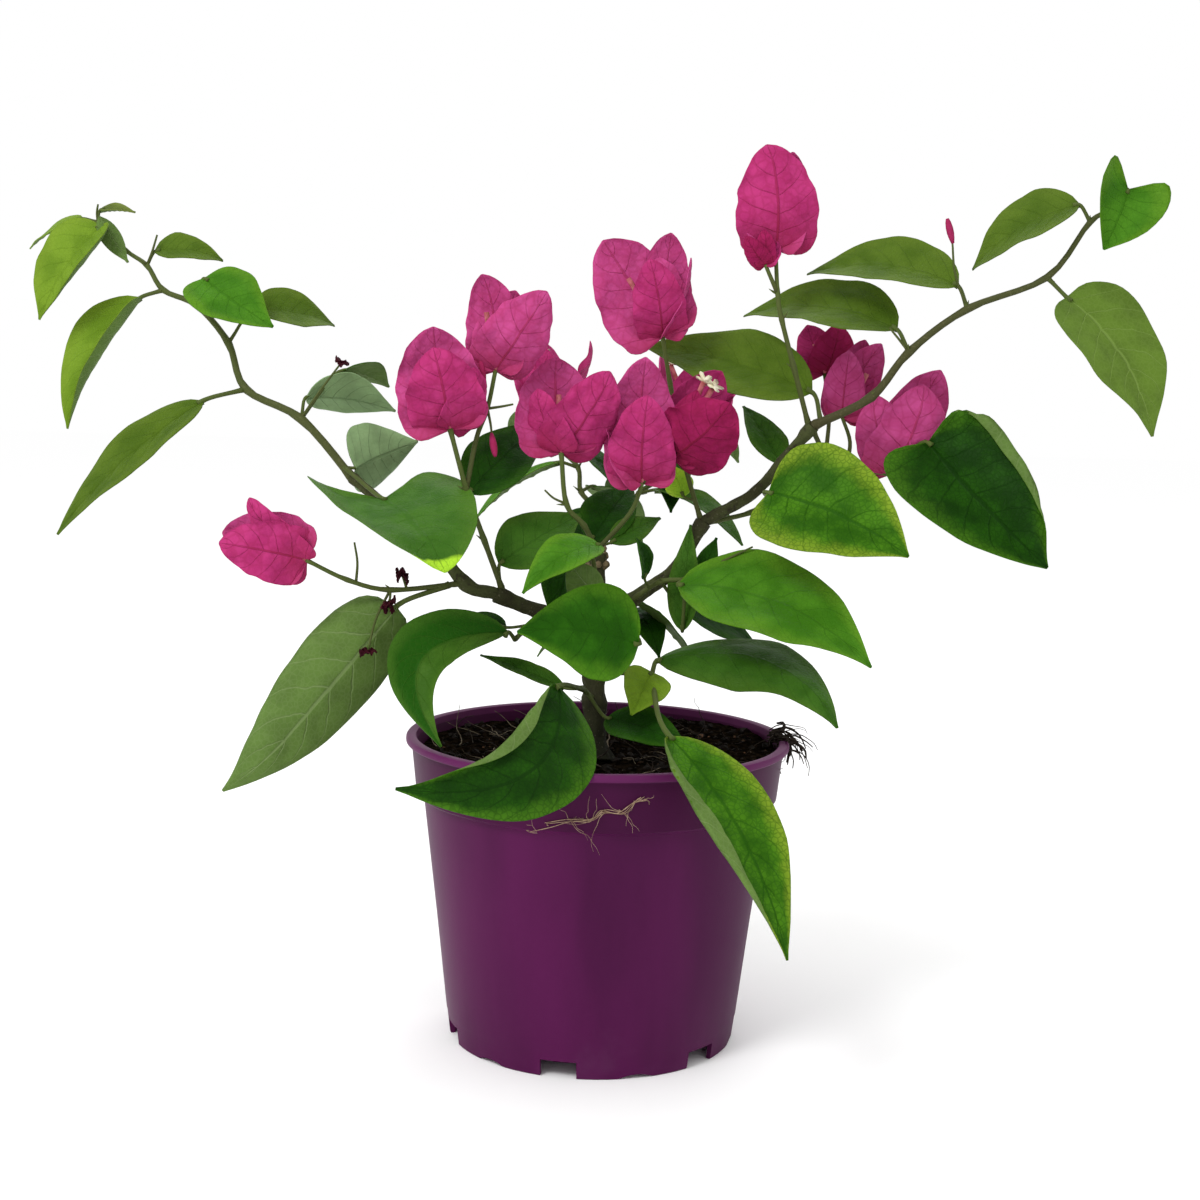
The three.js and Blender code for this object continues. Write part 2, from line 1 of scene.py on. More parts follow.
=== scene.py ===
"""A young bougainvillea in its nursery pot: the looks of every surface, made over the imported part.

Tables and shapes are in millimetres, in the part's frame: +X right, +Y away from the front, +Z up.
Directions are a bearing in degrees seen from above (0 right, 90 back) and a climb above the level.
"""

from math import cos, exp, pi, radians, sin, sqrt

import bpy
import numpy as np
from mathutils import Matrix, Vector, noise


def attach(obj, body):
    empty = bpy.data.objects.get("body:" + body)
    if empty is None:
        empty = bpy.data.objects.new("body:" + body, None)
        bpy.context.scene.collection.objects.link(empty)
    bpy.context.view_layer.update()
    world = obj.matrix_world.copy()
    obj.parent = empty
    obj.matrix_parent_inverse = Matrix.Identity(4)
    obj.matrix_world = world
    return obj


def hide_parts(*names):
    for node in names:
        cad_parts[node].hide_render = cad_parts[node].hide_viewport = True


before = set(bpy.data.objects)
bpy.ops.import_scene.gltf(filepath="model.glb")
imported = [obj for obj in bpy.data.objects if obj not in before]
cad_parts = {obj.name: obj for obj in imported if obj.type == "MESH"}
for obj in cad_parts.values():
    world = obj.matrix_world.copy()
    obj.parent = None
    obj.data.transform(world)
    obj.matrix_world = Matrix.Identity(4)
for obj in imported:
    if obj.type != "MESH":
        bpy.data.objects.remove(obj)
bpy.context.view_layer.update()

MM = 0.001

# Camera
CAMERA_PLACE = (-0.5, -720, 262)
CAMERA_PITCH = 7
CAMERA_ROLL = 1.45
LENS = 55.5

# Pot and soil
POT_HEIGHT = 120
RIM_RADIUS = 75.5
COLLAR_TOP_RADIUS = 73.4
COLLAR_FOOT_RADIUS = 71.2
COLLAR_HEIGHT = 22
BODY_TOP_RADIUS = 68.2
BASE_RADIUS = 56.6
WALL = 2
FOOT_HEIGHT = 7
PAD_RADIUS = 18
NOTCHES = 6
NOTCH_WIDTH = 14
NOTCH_RISE = 6.7
SCOOP_RADIUS = 17
SCOOP_RISE = 1.6
CUT_LENGTH = 16
FIRST_NOTCH_BEARING = 258
SOIL_LEVEL = 113.6
SOIL_HEAP = 2.6
HEAP_BEARING = 28
SOIL_RADIUS = 70.2

# Limbs, leaves and bracts
TRUNK_FOOT = (-1, -16, 114.3)
TRUNK_SUNK = 2
SWELL = 0.22
SWELL_LENGTH = 3.2
KNOBS = 11
FLARE = 1.7
FLARE_HEIGHT = 9
SUNK = 1.5
LEAF_THICKNESS = 0.45
BRACT_THICKNESS = 0.35
BRACT_BEND = 36
BRACT_FOLD = -10
WILD_PACE = 14
WILD_BRACTS = 3
WILD_BRACT = [38, 32]
OPEN_FLOWER = 31
BRACT_LOBES = 0.26
ROLL_RADIUS = 1.1
ROLL_FROM = 0.6
LEAF_VEINS = 6
BRACT_VEINS = 5
STAR_POINTS = 20
STAR_SIZE = 4.2
WITHERED_PETALS = 5
WHOLE_TURN = 6.28

SEEDS = {"knob": 31, "masses": 101, "crumbs": 7, "fibres": 19, "string": 5}

# Small things; the heights in metres where the pot's painted shade over the collar and painted highlight along the
# lip begin; the share of the way where a lime tip starts
CRUMBS = 900
SOIL_FIBRES = 150
CLUMP_FIBRES = 46
CLUMP_PLACE = (70, 2)
STRANDS = 5
FRAYS = 26
STRING = [(-25, 97.5), (-17, 100), (-9, 102.5), (-2, 103), (3, 106), (9, 106.5), (14, 110), (17, 111)]
COLLAR_SHADE_EDGE = (0.0972, 0.0982)
LIP_HIGHLIGHT_EDGE = (0.1168, 0.1176)
LIME_TIP = (0.88, 0.92)

# The limbs, as in the part: at is [parent, how far along it, how far out it starts], route is its straight lengths
# [length, bearing, climb], and radii are those at both ends.
LIMBS = {
    "trunk": {"route": [[22, 95, 70], [22, 95, 68], [20, 280, 84], [17, 80, 85]], "radii": [4.6, 3]},
    "left_bough": {"at": ["trunk", 50, 5.2], "route": [[17, 193, 19], [20, 193, 22]], "radii": [2.9, 2.6]},
    "left_upper_bough": {
        "at": ["left_bough", 37, 0.8], "radii": [2.4, 1.9],
        "route": [[12, 189, 19], [23, 165, 48], [23, 162, 33], [16, 163, 35]],
    },
    "right_bough": {
        "at": ["trunk", 53, 6.0], "radii": [2.9, 2.4],
        "route": [[18, 21, 31], [16, 18, 36], [21, 11, 60]],
    },
    "right_upper_bough": {
        "at": ["right_bough", 55, 1.6], "radii": [2.3, 2],
        "route": [[22, 354, 32], [19, 341, 50], [16, 337, 50]],
    },
    "back_bough": {
        "at": ["trunk", 40, 8.0], "radii": [2.4, 1.8],
        "route": [[24, 84, 34], [22, 102, 46], [14, 76, 40]],
    },
}

# The masses, as in the part, each on a stem like a limb. A leaf: joint, stalk [length, bearing, climb], blade
# [reach, width, bearing, climb], the way its upper side faces, its bend and fold, its tone, and where it has them
# its bow to one side, the lobes behind its base, the lift of its two margins and of its tip, and the fullness of its
# outline. A head: joint, its bracts [length, width, bearing, climb, bearing its outer side faces], its pink and how
# many of its flowers are open. A twig: joint, bearing, climb, length and what is on its end. Wild growth: what
# grow_wild makes its rows from.
MASSES = {}


def set_mass(name, **growth):
    MASSES[name] = growth


set_mass(
    "left_arm_foliage", at=["left_upper_bough", 74, 0.8], radii=[1.8, 0.7],
    stem=[
        [31, 159, 44], [26, 166, 25], [20, 152, 64], [20, 163, 46], [16, 165, 22], [12, 164, 53], [11, 168, 33],
        [16, 170, 43],
    ],
    leaves=[
        [0.15, [5, 10, 0], [33, 32, 45, 18], [115, 0], 30, 10, "pale", 0, 0, (0.5, 0.2)],
        [0.18, [30, 313, -22], [56, 60, 303, -24], [284, 58], 40, 6, "limed", 0, 0.8, (0, 0.2), 0, 0.25],
        [1, [12, 80, 46], [37, 24, 22, -8], [80, 40], 35, 15, "pale"],
        [1, [30, 53, 40], [28, 20, 53, -13], [90, 60], 30, 10, "mid"],
        [2, [19, 212, -16], [76, 27, 203, -43], [235, 40], 25, 10, "olive"],
        [3, [18, 32, 50], [35, 24, 31, -9], [280, 48], 35, 15, "olive"],
        [4, [13, 307, 53], [36, 29, 341, -31], [290, 35], 20, 10, "bright", 0.06, 0.2],
        [5, [10, 194, -22], [60, 34, 207, -61], [236, 28], 38, 12, "light", 0.02, 0, (0.5, 0)],
        [6, [7, 0, 57], [27, 17, 13, -6], [280, 50], 50, 15, "olive"],
        [8, [3, 304, 24], [24, 9, 329, -49], [120, 10], 10, 20, "young"],
        [8, [3, 300, -34], [46, 33, 213, -57], [244, 25], 30, 10, "light", 0, 0.2, (0.3, 0)],
        [8, [9, 152, 9], [29, 13, 158, -24], [230, 60], 30, 10, "light"],
        [8, [5, 0, 76], [16, 8, 345, -3], [290, 60], 20, 20, "young"],
    ],
    twigs=[[8, 39, 89, 7, "bare"], [4, 188, 82, 8, "bare"], [6, 336, 67, 13, "bare"], [1, 346, 53, 28, "dried"]],
)
set_mass(
    "left_low_spray", at=["left_upper_bough", 12, 3.6], radii=[1.1, 0.8],
    stem=[[26, 201, -4], [17, 201, 14], [18, 205, 26]],
    leaves=[[0.1, [23, 200, -22], [92, 38, 209, -47], [110, 5], 15, 8, "olive", 0.02, 0.1, (1.3, 0.2), 0.5, 0.12]],
    heads=[[3, [[33, 24, 191, 11, 275], [35, 27, 168, 15, 95], [33, 13, 175, 44, 250]], "mid"]],
    twigs=[
        [0.75, 211, 69, 6, "dried"], [1, 265, -51, 6, "dried"], [1, 227, -65, 25, "dried"],
        [1.8, 179, 87, 15, "bare"],
    ],
)
set_mass(
    "left_rise_spray", at=["left_bough", 33, 4.8], radii=[1.2, 0.9],
    stem=[[20, 211, 67], [21, 210, 68], [24, 213, 72]],
    forks=[[2, [[20, 51, 75], [12, 27, 69], [15, 37, 77]]]],
    leaves=[
        [0.12, [7, 60, 84], [42, 26, 34, 26], [280, 45], 25, 10, "mid"],
        [2, [6, 83, -14], [50, 26, 52, 31], [285, 45], 30, 10, "deep"],
    ],
    heads=[
        [3, [[33, 31, 241, 68, 275], [40, 35, 153, 78, 95], [26, 20, 0, 66, 320]], "mid"],
        [6, [[37, 27, 337, 55, 290], [38, 24, 159, 81, 80], [33, 23, 51, 71, 100]], "light"],
    ],
    twigs=[[5, 237, 75, 10, "bud"], [5, 298, -66, 11, "bud"], [5, 0, 11, 10, "bare"]],
)
set_mass(
    "left_under_foliage", at=["left_bough", 17, 4.0], radii=[1.1, 0.9],
    stem=[[13, 226, -32]],
    leaves=[
        [1, [9, 250, 22], [54, 28, 234, -46], [262, 12], 15, 14, "halved", 0.42, 0, (0.3, 0)],
        [0.3, [12, 149, -9], [26, 13, 158, 3], [270, 60], 10, 10, "deep"],
    ],
)
set_mass(
    "centre_left_foliage", at=["trunk", 53, 8.4], radii=[1.2, 0.9],
    stem=[[13, 271, 50], [14, 222, 78]],
    leaves=[
        [1, [31, 311, -39], [51, 38, 208, 8], [268, 22], 25, 5, "rich", 0.05, 0, (0, 0.3)],
        [1, [11, 275, -22], [21, 16, 206, 49], [110, 0], 30, 20, "deep"],
        [2, [4, 340, 40], [38, 20, 212, -27], [250, 42], 70, 10, "bright"],
    ],
)
set_mass(
    "low_front_foliage", at=["trunk", 22, 4.8], radii=[1.2, 1],
    stem=[[12, 253, 25]],
    leaves=[
        [1, [32, 253, 10.5], [82, 35, 227, -19], [296, 38], 40, -10, "edged", -0.27, 0.1, (0, 1.7)],
        [1, [10, 143, -3], [35, 10, 173, 19], [270, 60], 10, 20, "mid"],
        [0.6, [13, 340, -46], [38, 20, 326, -11], [290, 40], 30, 10, "deep"],
    ],
)
set_mass(
    "low_right_foliage", at=["trunk", 33, 4.8], radii=[1.2, 0.9],
    stem=[[11, 332, 6], [9, 333, -5]],
    leaves=[
        [2, [8, 60, 48], [80, 34, 327, -12], [286, 50], 25, -15, "mid", -0.2],
        [2, [5, 268, 29], [25, 20, 249, -32], [280, 30], 20, 20, "light"],
        [2, [52, 277, -15], [92, 36, 309, -46], [298, 35], 35, 3, "mottled", -0.03, 0, (0, 1.8)],
    ],
)
set_mass(
    "right_under_foliage", at=["right_bough", 9, 6.4], radii=[1.2, 0.9],
    stem=[[11, 335, 34], [10, 349, 7]],
    leaves=[
        [0.5, [8, 250, 40], [17, 13, 228, 71], [330, 20], 50, 10, "deep"],
        [2, [8, 250, -10], [82, 46, 336, -18], [280, 50], 28, 8, "bright", -0.08],
        [2, [21, 94, -74], [42, 14, 70, 81], [250, 10], 10, 20, "mid"],
        [2, [13, 63, -5], [20, 9, 49, 57], [280, 20], 10, 10, "deep"],
        [2, [21, 61, 8], [20, 6, 39, 15], [280, 50], 10, 10, "deep"],
        [1, [17, 58, -31], [41, 22, 23, -28], [290, 50], 20, 10, "deep"],
    ],
    twigs=[[2, 357, 28, 29, "bare"]],
)
set_mass(
    "crown_spray", at=["trunk", 81, 1.2], radii=[1.2, 0.9],
    stem=[[12, 217, 57], [11, 196, 49], [20, 221, 81]],
    forks=[[0, [[20, 343, 49], [13, 335, 68]]], [5, [[15, 6, 44]]]],
    leaves=[
        [0.2, [8, 98, 12], [36, 22, 56, 36], [280, 50], 30, 10, "deep"],
        [0.15, [9, 40, 10], [25, 13, 32, 22], [290, 50], 20, 10, "mid"],
    ],
    heads=[
        [3, [[38, 27, 335, 56, 290], [38, 34, 111, 77, 95], [27, 20, 203, 66, 235]], "mid"],
        [5, [[36, 27, 275, 72, 272], [49, 30, 90, 88, 95], [37, 22, 166, 72, 130]], "mid"],
        [6, [[35, 33, 320, 38, 285], [40, 26, 25, 58, 95], [28, 16, 351, 70, 250]], "deep", 2],
    ],
    twigs=[[2, 192, 31, 10, "bare"]],
)
set_mass(
    "right_rise_spray", at=["right_bough", 54, 2.8], radii=[1.1, 0.8],
    stem=[[23, 164, 72], [32, 180, 78], [18, 211, 77]],
    leaves=[[0.3, [6, 147, 17], [14, 12, 141, 63], [270, 10], 10, 10, "lime"]],
    heads=[[3, [[32, 22, 239, 68, 275], [45, 37, 171, 56, 100], [42, 24, 65, 81, 85], [33, 12, 0, 71, 0]], "mid"]],
)
set_mass(
    "top_spray", at=["right_upper_bough", 55, 3.2], radii=[1.1, 0.8],
    stem=[[22, 205, 71], [19, 191, 73], [10, 180, 79], [17, 121, 82]],
    forks=[[3, [[12, 201, 62]]]],
    heads=[
        [4, [[41, 33, 221, 81, 275], [39, 22, 42, 77, 80], [33, 21, 148, 64, 120]], "mid"],
        [5, [[14, 9, 206, 49, 250], [14, 9, 242, 81, 280], [11, 8, 32, 58, 60]], "deep"],
    ],
)
set_mass(
    "right_arm_foliage", at=["right_upper_bough", 57, 1.2], radii=[1.9, 0.8], young=(0.1, 0.5),
    stem=[[24, 344, 28], [22, 343, 52], [27, 343, 38], [31, 348, 23], [25, 336, 54], [10, 333, 25]],
    leaves=[
        [0.1, [17, 106, 43], [74, 36, 156, 13], [272, 42], 26, 10, "olive"],
        [2, [11, 140, 54], [66, 33, 149, 4], [270, 50], 40, 15, "olive", 0.03],
        [3, [10, 155, 62], [60, 32, 156, 4], [270, 52], 40, 15, "olive", 0.03],
        [5, [8, 155, 51], [46, 29, 152, -31], [250, 50], 45, 15, "olive"],
        [6, [8, 333, 61], [26, 31, 219, -61], [290, 25], 20, 12, "bright", 0, 0.75, (0.3, 0.3)],
        [4, [11, 348, -44], [61, 42, 336, -56], [296, 25], 35, 10, "backed", -0.05, 0.2],
    ],
    twigs=[[2, 180, 49, 12, "bare"], [3, 186, 74, 26, "bud"]],
)
set_mass(
    "right_low_foliage", at=["right_bough", 54, 6.8], radii=[1.1, 0.9],
    stem=[[14, 17, 13], [10, 332, 36]],
    leaves=[
        [2, [25, 265, 9], [61, 50, 332, -20], [283, 22], 30, 12, "mottled", -0.03, 0.25],
        [2, [17, 62, 58], [32, 17, 128, 44], [290, 40], 20, 10, "mid"],
    ],
)
set_mass(
    "right_cluster_spray", at=["right_upper_bough", 56, 2.8], radii=[1.1, 0.8],
    stem=[[13, 53, -41], [10, 13, -30], [17, 354, -8]],
    forks=[[1, [[24, 81, 41], [21, 94, 49]]], [2, [[14, 76, 43], [11, 128, 63]]]],
    leaves=[[3, [21, 326, 38], [68, 54, 328, -42], [280, 20], 25, 10, "edged", 0.05, 0.3, (1.4, 0.1)]],
    heads=[
        [5, [[22, 19, 305, 70, 280], [22, 18, 166, 67, 100], [20, 17, 21, 55, 60]], "deep"],
        [7, [[28, 18, 282, 77, 265], [34, 20, 8, 63, 95], [34, 19, 40, 69, 80]], "light"],
        [3, [[39, 32, 322, 68, 280], [47, 28, 13, 65, 95], [33, 24, 173, 75, 235]], "light"],
    ],
    twigs=[[2.2, 278, -55, 8, "bare"]],
)
set_mass("back_left_foliage", at=["back_bough", 59, 2.4], heading=[118, 42], joints=5, size=60,
         seed=11, flowers=True, skip=0)
set_mass("back_right_foliage", at=["back_bough", 59, 2.4], heading=[45, 34], joints=5, size=58,
         seed=23, flowers=True, skip=1)
set_mass("back_low_foliage", at=["back_bough", 30, 2.8], heading=[80, -16], joints=4, size=58,
         seed=37, flowers=False, skip=1)


# Directions, routes and chance

def heading(bearing, climb):
    level = cos(radians(climb))
    return Vector((
        level * cos(radians(bearing)),
        level * sin(radians(bearing)),
        sin(radians(climb)),
    ))


def route_points(start, route):
    points = [start.copy()]
    for length, bearing, climb in route:
        points.append(points[-1] + heading(bearing, climb) * length)
    return points


def point_on(points, distance):
    """The point at a distance along a path."""
    for here, there in zip(points, points[1:]):
        length = (there - here).length
        if distance <= length:
            return here.lerp(there, distance / length)
        distance -= length
    return points[-1].copy()


def start_of(limbs, at, route):
    """Where on its parent a limb or stem is rooted, and where it starts, a little way out."""
    limb, along, out = at
    root = point_on(limbs[limb], along)
    return root, root + heading(*route[0][1:]) * out


def point_at(joints, number):
    """A joint by its number, or a place between two."""
    whole = int(number)
    return joints[whole].lerp(joints[min(whole + 1, len(joints) - 1)], number - whole)


def seeded(seed):
    """The part's own chance, so that wild growth comes out the same."""
    state = seed

    def draw():
        nonlocal state
        state = (state * 1664525 + 1013904223) % 2 ** 32
        return state / 2 ** 32

    return draw


def smooth_path(points, pieces=6):
    """A soft curve through the same points."""
    if len(points) < 3:
        return [points[0].lerp(points[-1], i / pieces) for i in range(pieces + 1)]
    ends = [2 * points[0] - points[1], *points, 2 * points[-1] - points[-2]]
    smooth = []
    for a, b, c, d in zip(ends, ends[1:], ends[2:], ends[3:]):
        for i in range(pieces):
            t = i / pieces
            bend = 2 * b + (c - a) * t + (2 * a - 5 * b + 4 * c - d) * t ** 2 + (3 * b - a - 3 * c + d) * t ** 3
            smooth.append(bend / 2)
    smooth.append(points[-1].copy())
    return smooth


# Meshes from arrays

class Bundle:
    """Many small shapes gathered into one mesh, with a finish for each face."""

    def __init__(self):
        self.points, self.faces, self.finishes, self.uvs, self.ages = [], [], [], [], []
        self.count = 0

    def add(self, points, faces, finish=0, uv=None, age=0.5):
        self.points.append(np.asarray(points, float))
        self.faces.append(np.asarray(faces) + self.count)
        self.finishes.append(np.broadcast_to(finish, len(faces)))
        self.uvs.append(np.zeros((len(points), 2)) if uv is None else uv)
        self.ages.append(np.broadcast_to(age, len(points)))
        self.count += len(points)

    def piece(self, name, materials, smooth=True):
        """One object from all that was gathered. A face with a repeated corner is a triangle."""
        mesh = bpy.data.meshes.new(name)
        faces = [tuple(dict.fromkeys(face)) for block in self.faces for face in block.tolist()]
        mesh.from_pydata(np.concatenate(self.points) * MM, [], faces)
        mesh.polygons.foreach_set("material_index", np.concatenate(self.finishes).astype(np.int32))
        mesh.polygons.foreach_set("use_smooth", np.full(len(faces), smooth))
        corners = np.zeros(len(mesh.loops), np.int32)
        mesh.loops.foreach_get("vertex_index", corners)
        layer = mesh.uv_layers.new(name="blade")
        layer.data.foreach_set("uv", np.concatenate(self.uvs)[corners].astype(np.float32).ravel())
        age = mesh.attributes.new("age", "FLOAT", "POINT")
        age.data.foreach_set("value", np.concatenate(self.ages).astype(np.float32))
        for material in materials:
            mesh.materials.append(material)
        made = bpy.data.objects.new(name, mesh)
        bpy.context.scene.collection.objects.link(made)
        return made


def ring_faces(rings, sides):
    """Quads between rings of points, and a fan round the last two points at the ends."""
    faces = []
    for r in range(rings - 1):
        for k in range(sides):
            following = (k + 1) % sides
            faces.append((r * sides + k, r * sides + following, (r + 1) * sides + following, (r + 1) * sides + k))
    foot, tip = rings * sides, rings * sides + 1
    last = (rings - 1) * sides
    for k in range(sides):
        following = (k + 1) % sides
        faces.append((foot, following, k, foot))
        faces.append((tip, last + k, last + following, tip))
    return faces


def ways_across(points):
    """Two ways square to a path at each of its points, turning as little as they can."""
    last = len(points) - 1
    side = Vector((1, 0, 0))
    ways = []
    for i in range(last + 1):
        along = (points[min(i + 1, last)] - points[max(i - 1, 0)]).normalized()
        side = side - side.dot(along) * along
        if side.length < 0.2:
            side = Vector((0, 1, 0)).cross(along)
        side.normalize()
        ways.append((side, along.cross(side)))
    return ways


def add_tube(bundle, points, radius_at, sides=8, finish=0, ages=(0.5, 0.5)):
    """A closed tube along a path; radius_at takes the share of the way."""
    last = len(points) - 1
    shape = []
    for i, (point, (side, other)) in enumerate(zip(points, ways_across(points))):
        radius = radius_at(i / last)
        for k in range(sides):
            turn = 2 * pi * k / sides
            shape.append(point + radius * (side * cos(turn) + other * sin(turn)))
    shape += [points[0], points[-1]]
    age = np.repeat(np.linspace(ages[0], ages[1], last + 1), sides)
    bundle.add(shape, ring_faces(last + 1, sides), finish, age=np.append(age, ages))


# Blades: leaves and bracts

def leaf_outline(s):
    return np.sin(np.pi * s ** 0.72) ** 0.85 * (1 - 0.35 * s ** 4)


def bract_outline(s):
    return (s / 0.39) ** 0.43 * ((1 - s) / 0.61) ** 0.68


def vein_share(s, u, veins):
    """How near a point is to one of the side veins, which sweep forward, from 0 to 1."""
    phase = (s - 0.2 * np.abs(u) - 0.05 * u * u) * (veins + 1)
    return np.exp(-((phase - np.round(phase)) / 0.13) ** 2) * (s > 0.04)


def spread(way, amounts):
    """A way times the amount at each point of a grid."""
    return way * amounts[..., None]


def roll_margins(s, u, half, curled):
    """The angle that each point has swung through where the margins roll in, how far out it then lies from the
    midrib, and that as a share of the blade's half width."""
    rolled = 0.4 * np.maximum(curled - ROLL_FROM, 0) * np.sin(np.pi * s) ** 0.5
    past = np.maximum(np.abs(u) - 1 + rolled, 0) * half
    swing = np.minimum(past / ROLL_RADIUS, np.pi)
    folded = past - ROLL_RADIUS * swing
    flat = (np.abs(u) * half - past) * (1 + rolled) + ROLL_RADIUS * np.sin(swing) - folded
    return swing, flat, np.sign(u) * flat / half / (1 + rolled)


def sheet_faces(rows, columns):
    """The faces of a thin sheet: of its upper grid of points, of the lower one, and of the edge between them."""
    size = (rows + 1) * (columns + 1)
    index = np.arange(size).reshape(rows + 1, columns + 1)
    quads = np.stack([index[:-1, :-1], index[:-1, 1:], index[1:, 1:], index[1:, :-1]], -1).reshape(-1, 4)
    rim = np.concatenate([index[0, :-1], index[:-1, -1], index[-1, :0:-1], index[:0:-1, 0]])
    ahead = np.roll(rim, -1)
    edge = np.stack([rim, rim + size, ahead + size, ahead], -1)
    return quads[:, ::-1], quads + size, edge[:, ::-1]


def add_blade(bundle, base, blade, faces, bend, fold, kind, chance, finish, bow=0, lobes=0, curl=(0, 0), tip=0,
              full=0):
    """A thin closed leaf or bract, bent, bowed and folded as in the part, and quilted between its veins. s runs
    along it and u across it. curl lifts its two margins, and from ROLL_FROM on rolls them in; tip lifts its end as a
    share of the reach; full rounds its outline out."""
    reach, width, bearing, climb = blade
    chord = np.array(heading(bearing, climb))
    up = np.array(heading(*faces))
    up -= up.dot(chord) * chord
    up /= np.linalg.norm(up)
    aside = np.cross(chord, up)
    turn = radians(max(bend, 1))
    arc = reach / (2 * sin(turn / 2))
    root = np.array(base) - SUNK * 0.5 * (chord * cos(turn / 2) + up * sin(turn / 2))
    rows, columns = (28, 16) if reach > 30 else (14, 8)
    columns_at = np.sin(np.pi / 2 * np.linspace(-1, 1, columns + 1))
    s, u = np.meshgrid(np.linspace(0, 1, rows + 1), columns_at, indexing="ij")
    angle = turn * (s - 0.5)
    phase, ripples = WHOLE_TURN * chance(), kind["ripples"] + chance()
    share = kind["outline"](s) ** (1 - full)
    torn = 0.6 * np.sin(23 * s + phase + 2 * np.sign(u)) + 0.4 * np.sin(41 * s + 2 * phase + np.sign(u))
    half = np.maximum(share * width / 2 * (1 + kind["torn"] * torn), kind["least"])
    normal = spread(up, np.cos(angle)) + spread(chord, np.sin(angle))
    along = spread(chord, np.cos(angle)) - spread(up, np.sin(angle))
    drift = np.arctan(4 * bow * (1 - 2 * s))
    across = spread(aside, np.cos(drift)) - spread(along, np.sin(drift))
    curled = np.where(u < 0, curl[0], curl[1])
    swing, flat, over = roll_margins(s, u, half, curled)
    roll = np.abs(over) ** 3 * np.minimum(curled, ROLL_FROM)
    back = reach * lobes * (share * np.abs(u)) ** (2.1 if lobes > 1 else 1.5) * (1 - s) ** 2
    side = np.sqrt(over ** 2 + 0.012) - 0.11
    lift = side * half * sin(radians(fold))
    lift += kind["wave"] * half * over ** 2 * np.sin(WHOLE_TURN * ripples * s + phase + np.where(u < 0, 2.2, 0)) * s
    lift += kind["frill"] * half * over ** 4 * np.sin(15 * ripples * s + 2 * phase + np.where(u < 0, 1.1, 0)) * s
    lift += half * roll
    lift += tip * reach * np.maximum(0, s - 0.72) ** 2 * 4
    veins = vein_share(s, over, kind["veins"])
    puff = kind["puff"] * sqrt(reach / 60)
    lift += puff * (1 - veins) * np.clip(1.15 - np.abs(over), 0, 1) * np.sin(np.pi * np.clip(s, 0, 1)) ** 0.5
    lift -= puff * np.exp(-(over / 0.12) ** 2) * (1 - s)
    rough = 0.05 + 0.05 * chance()
    lift += rough * half * np.sin(9 * s + 7 * over + phase) * np.sin(5 * over - 8 * s + 2 * phase) * kind["wave"] * 4
    middle = root + spread(chord, reach / 2 + arc * np.sin(angle))
    middle = middle + spread(up, arc * (np.cos(angle) - cos(turn / 2)))
    middle = middle + spread(aside, 4 * bow * reach * s * (1 - s)) - spread(along, back)
    lift += ROLL_RADIUS * (1 - np.cos(swing))
    wide_at = np.sign(u) * flat * cos(radians(fold)) * (1 - 0.35 * np.abs(roll))
    top = middle + spread(across, wide_at) + spread(normal, lift)
    thick = kind["thickness"] + kind["rib"] * np.exp(-(u / 0.1) ** 2) * (1.05 - s)
    inward = spread(normal, np.cos(swing)) - spread(across, np.sign(u) * np.sin(swing))
    under = top - spread(inward, thick)
    sheet = sheet_faces(rows, columns)
    beneath = max(finish, kind["under"]) if "under" in kind else finish
    marks = np.repeat([finish, beneath, finish], [len(part) for part in sheet])
    uv = np.stack([u.ravel() / 2 + 0.5, s.ravel()], -1)
    points = np.concatenate([top.reshape(-1, 3), under.reshape(-1, 3)])
    bundle.add(points, np.concatenate(sheet), marks, np.concatenate([uv, uv]), age=chance())
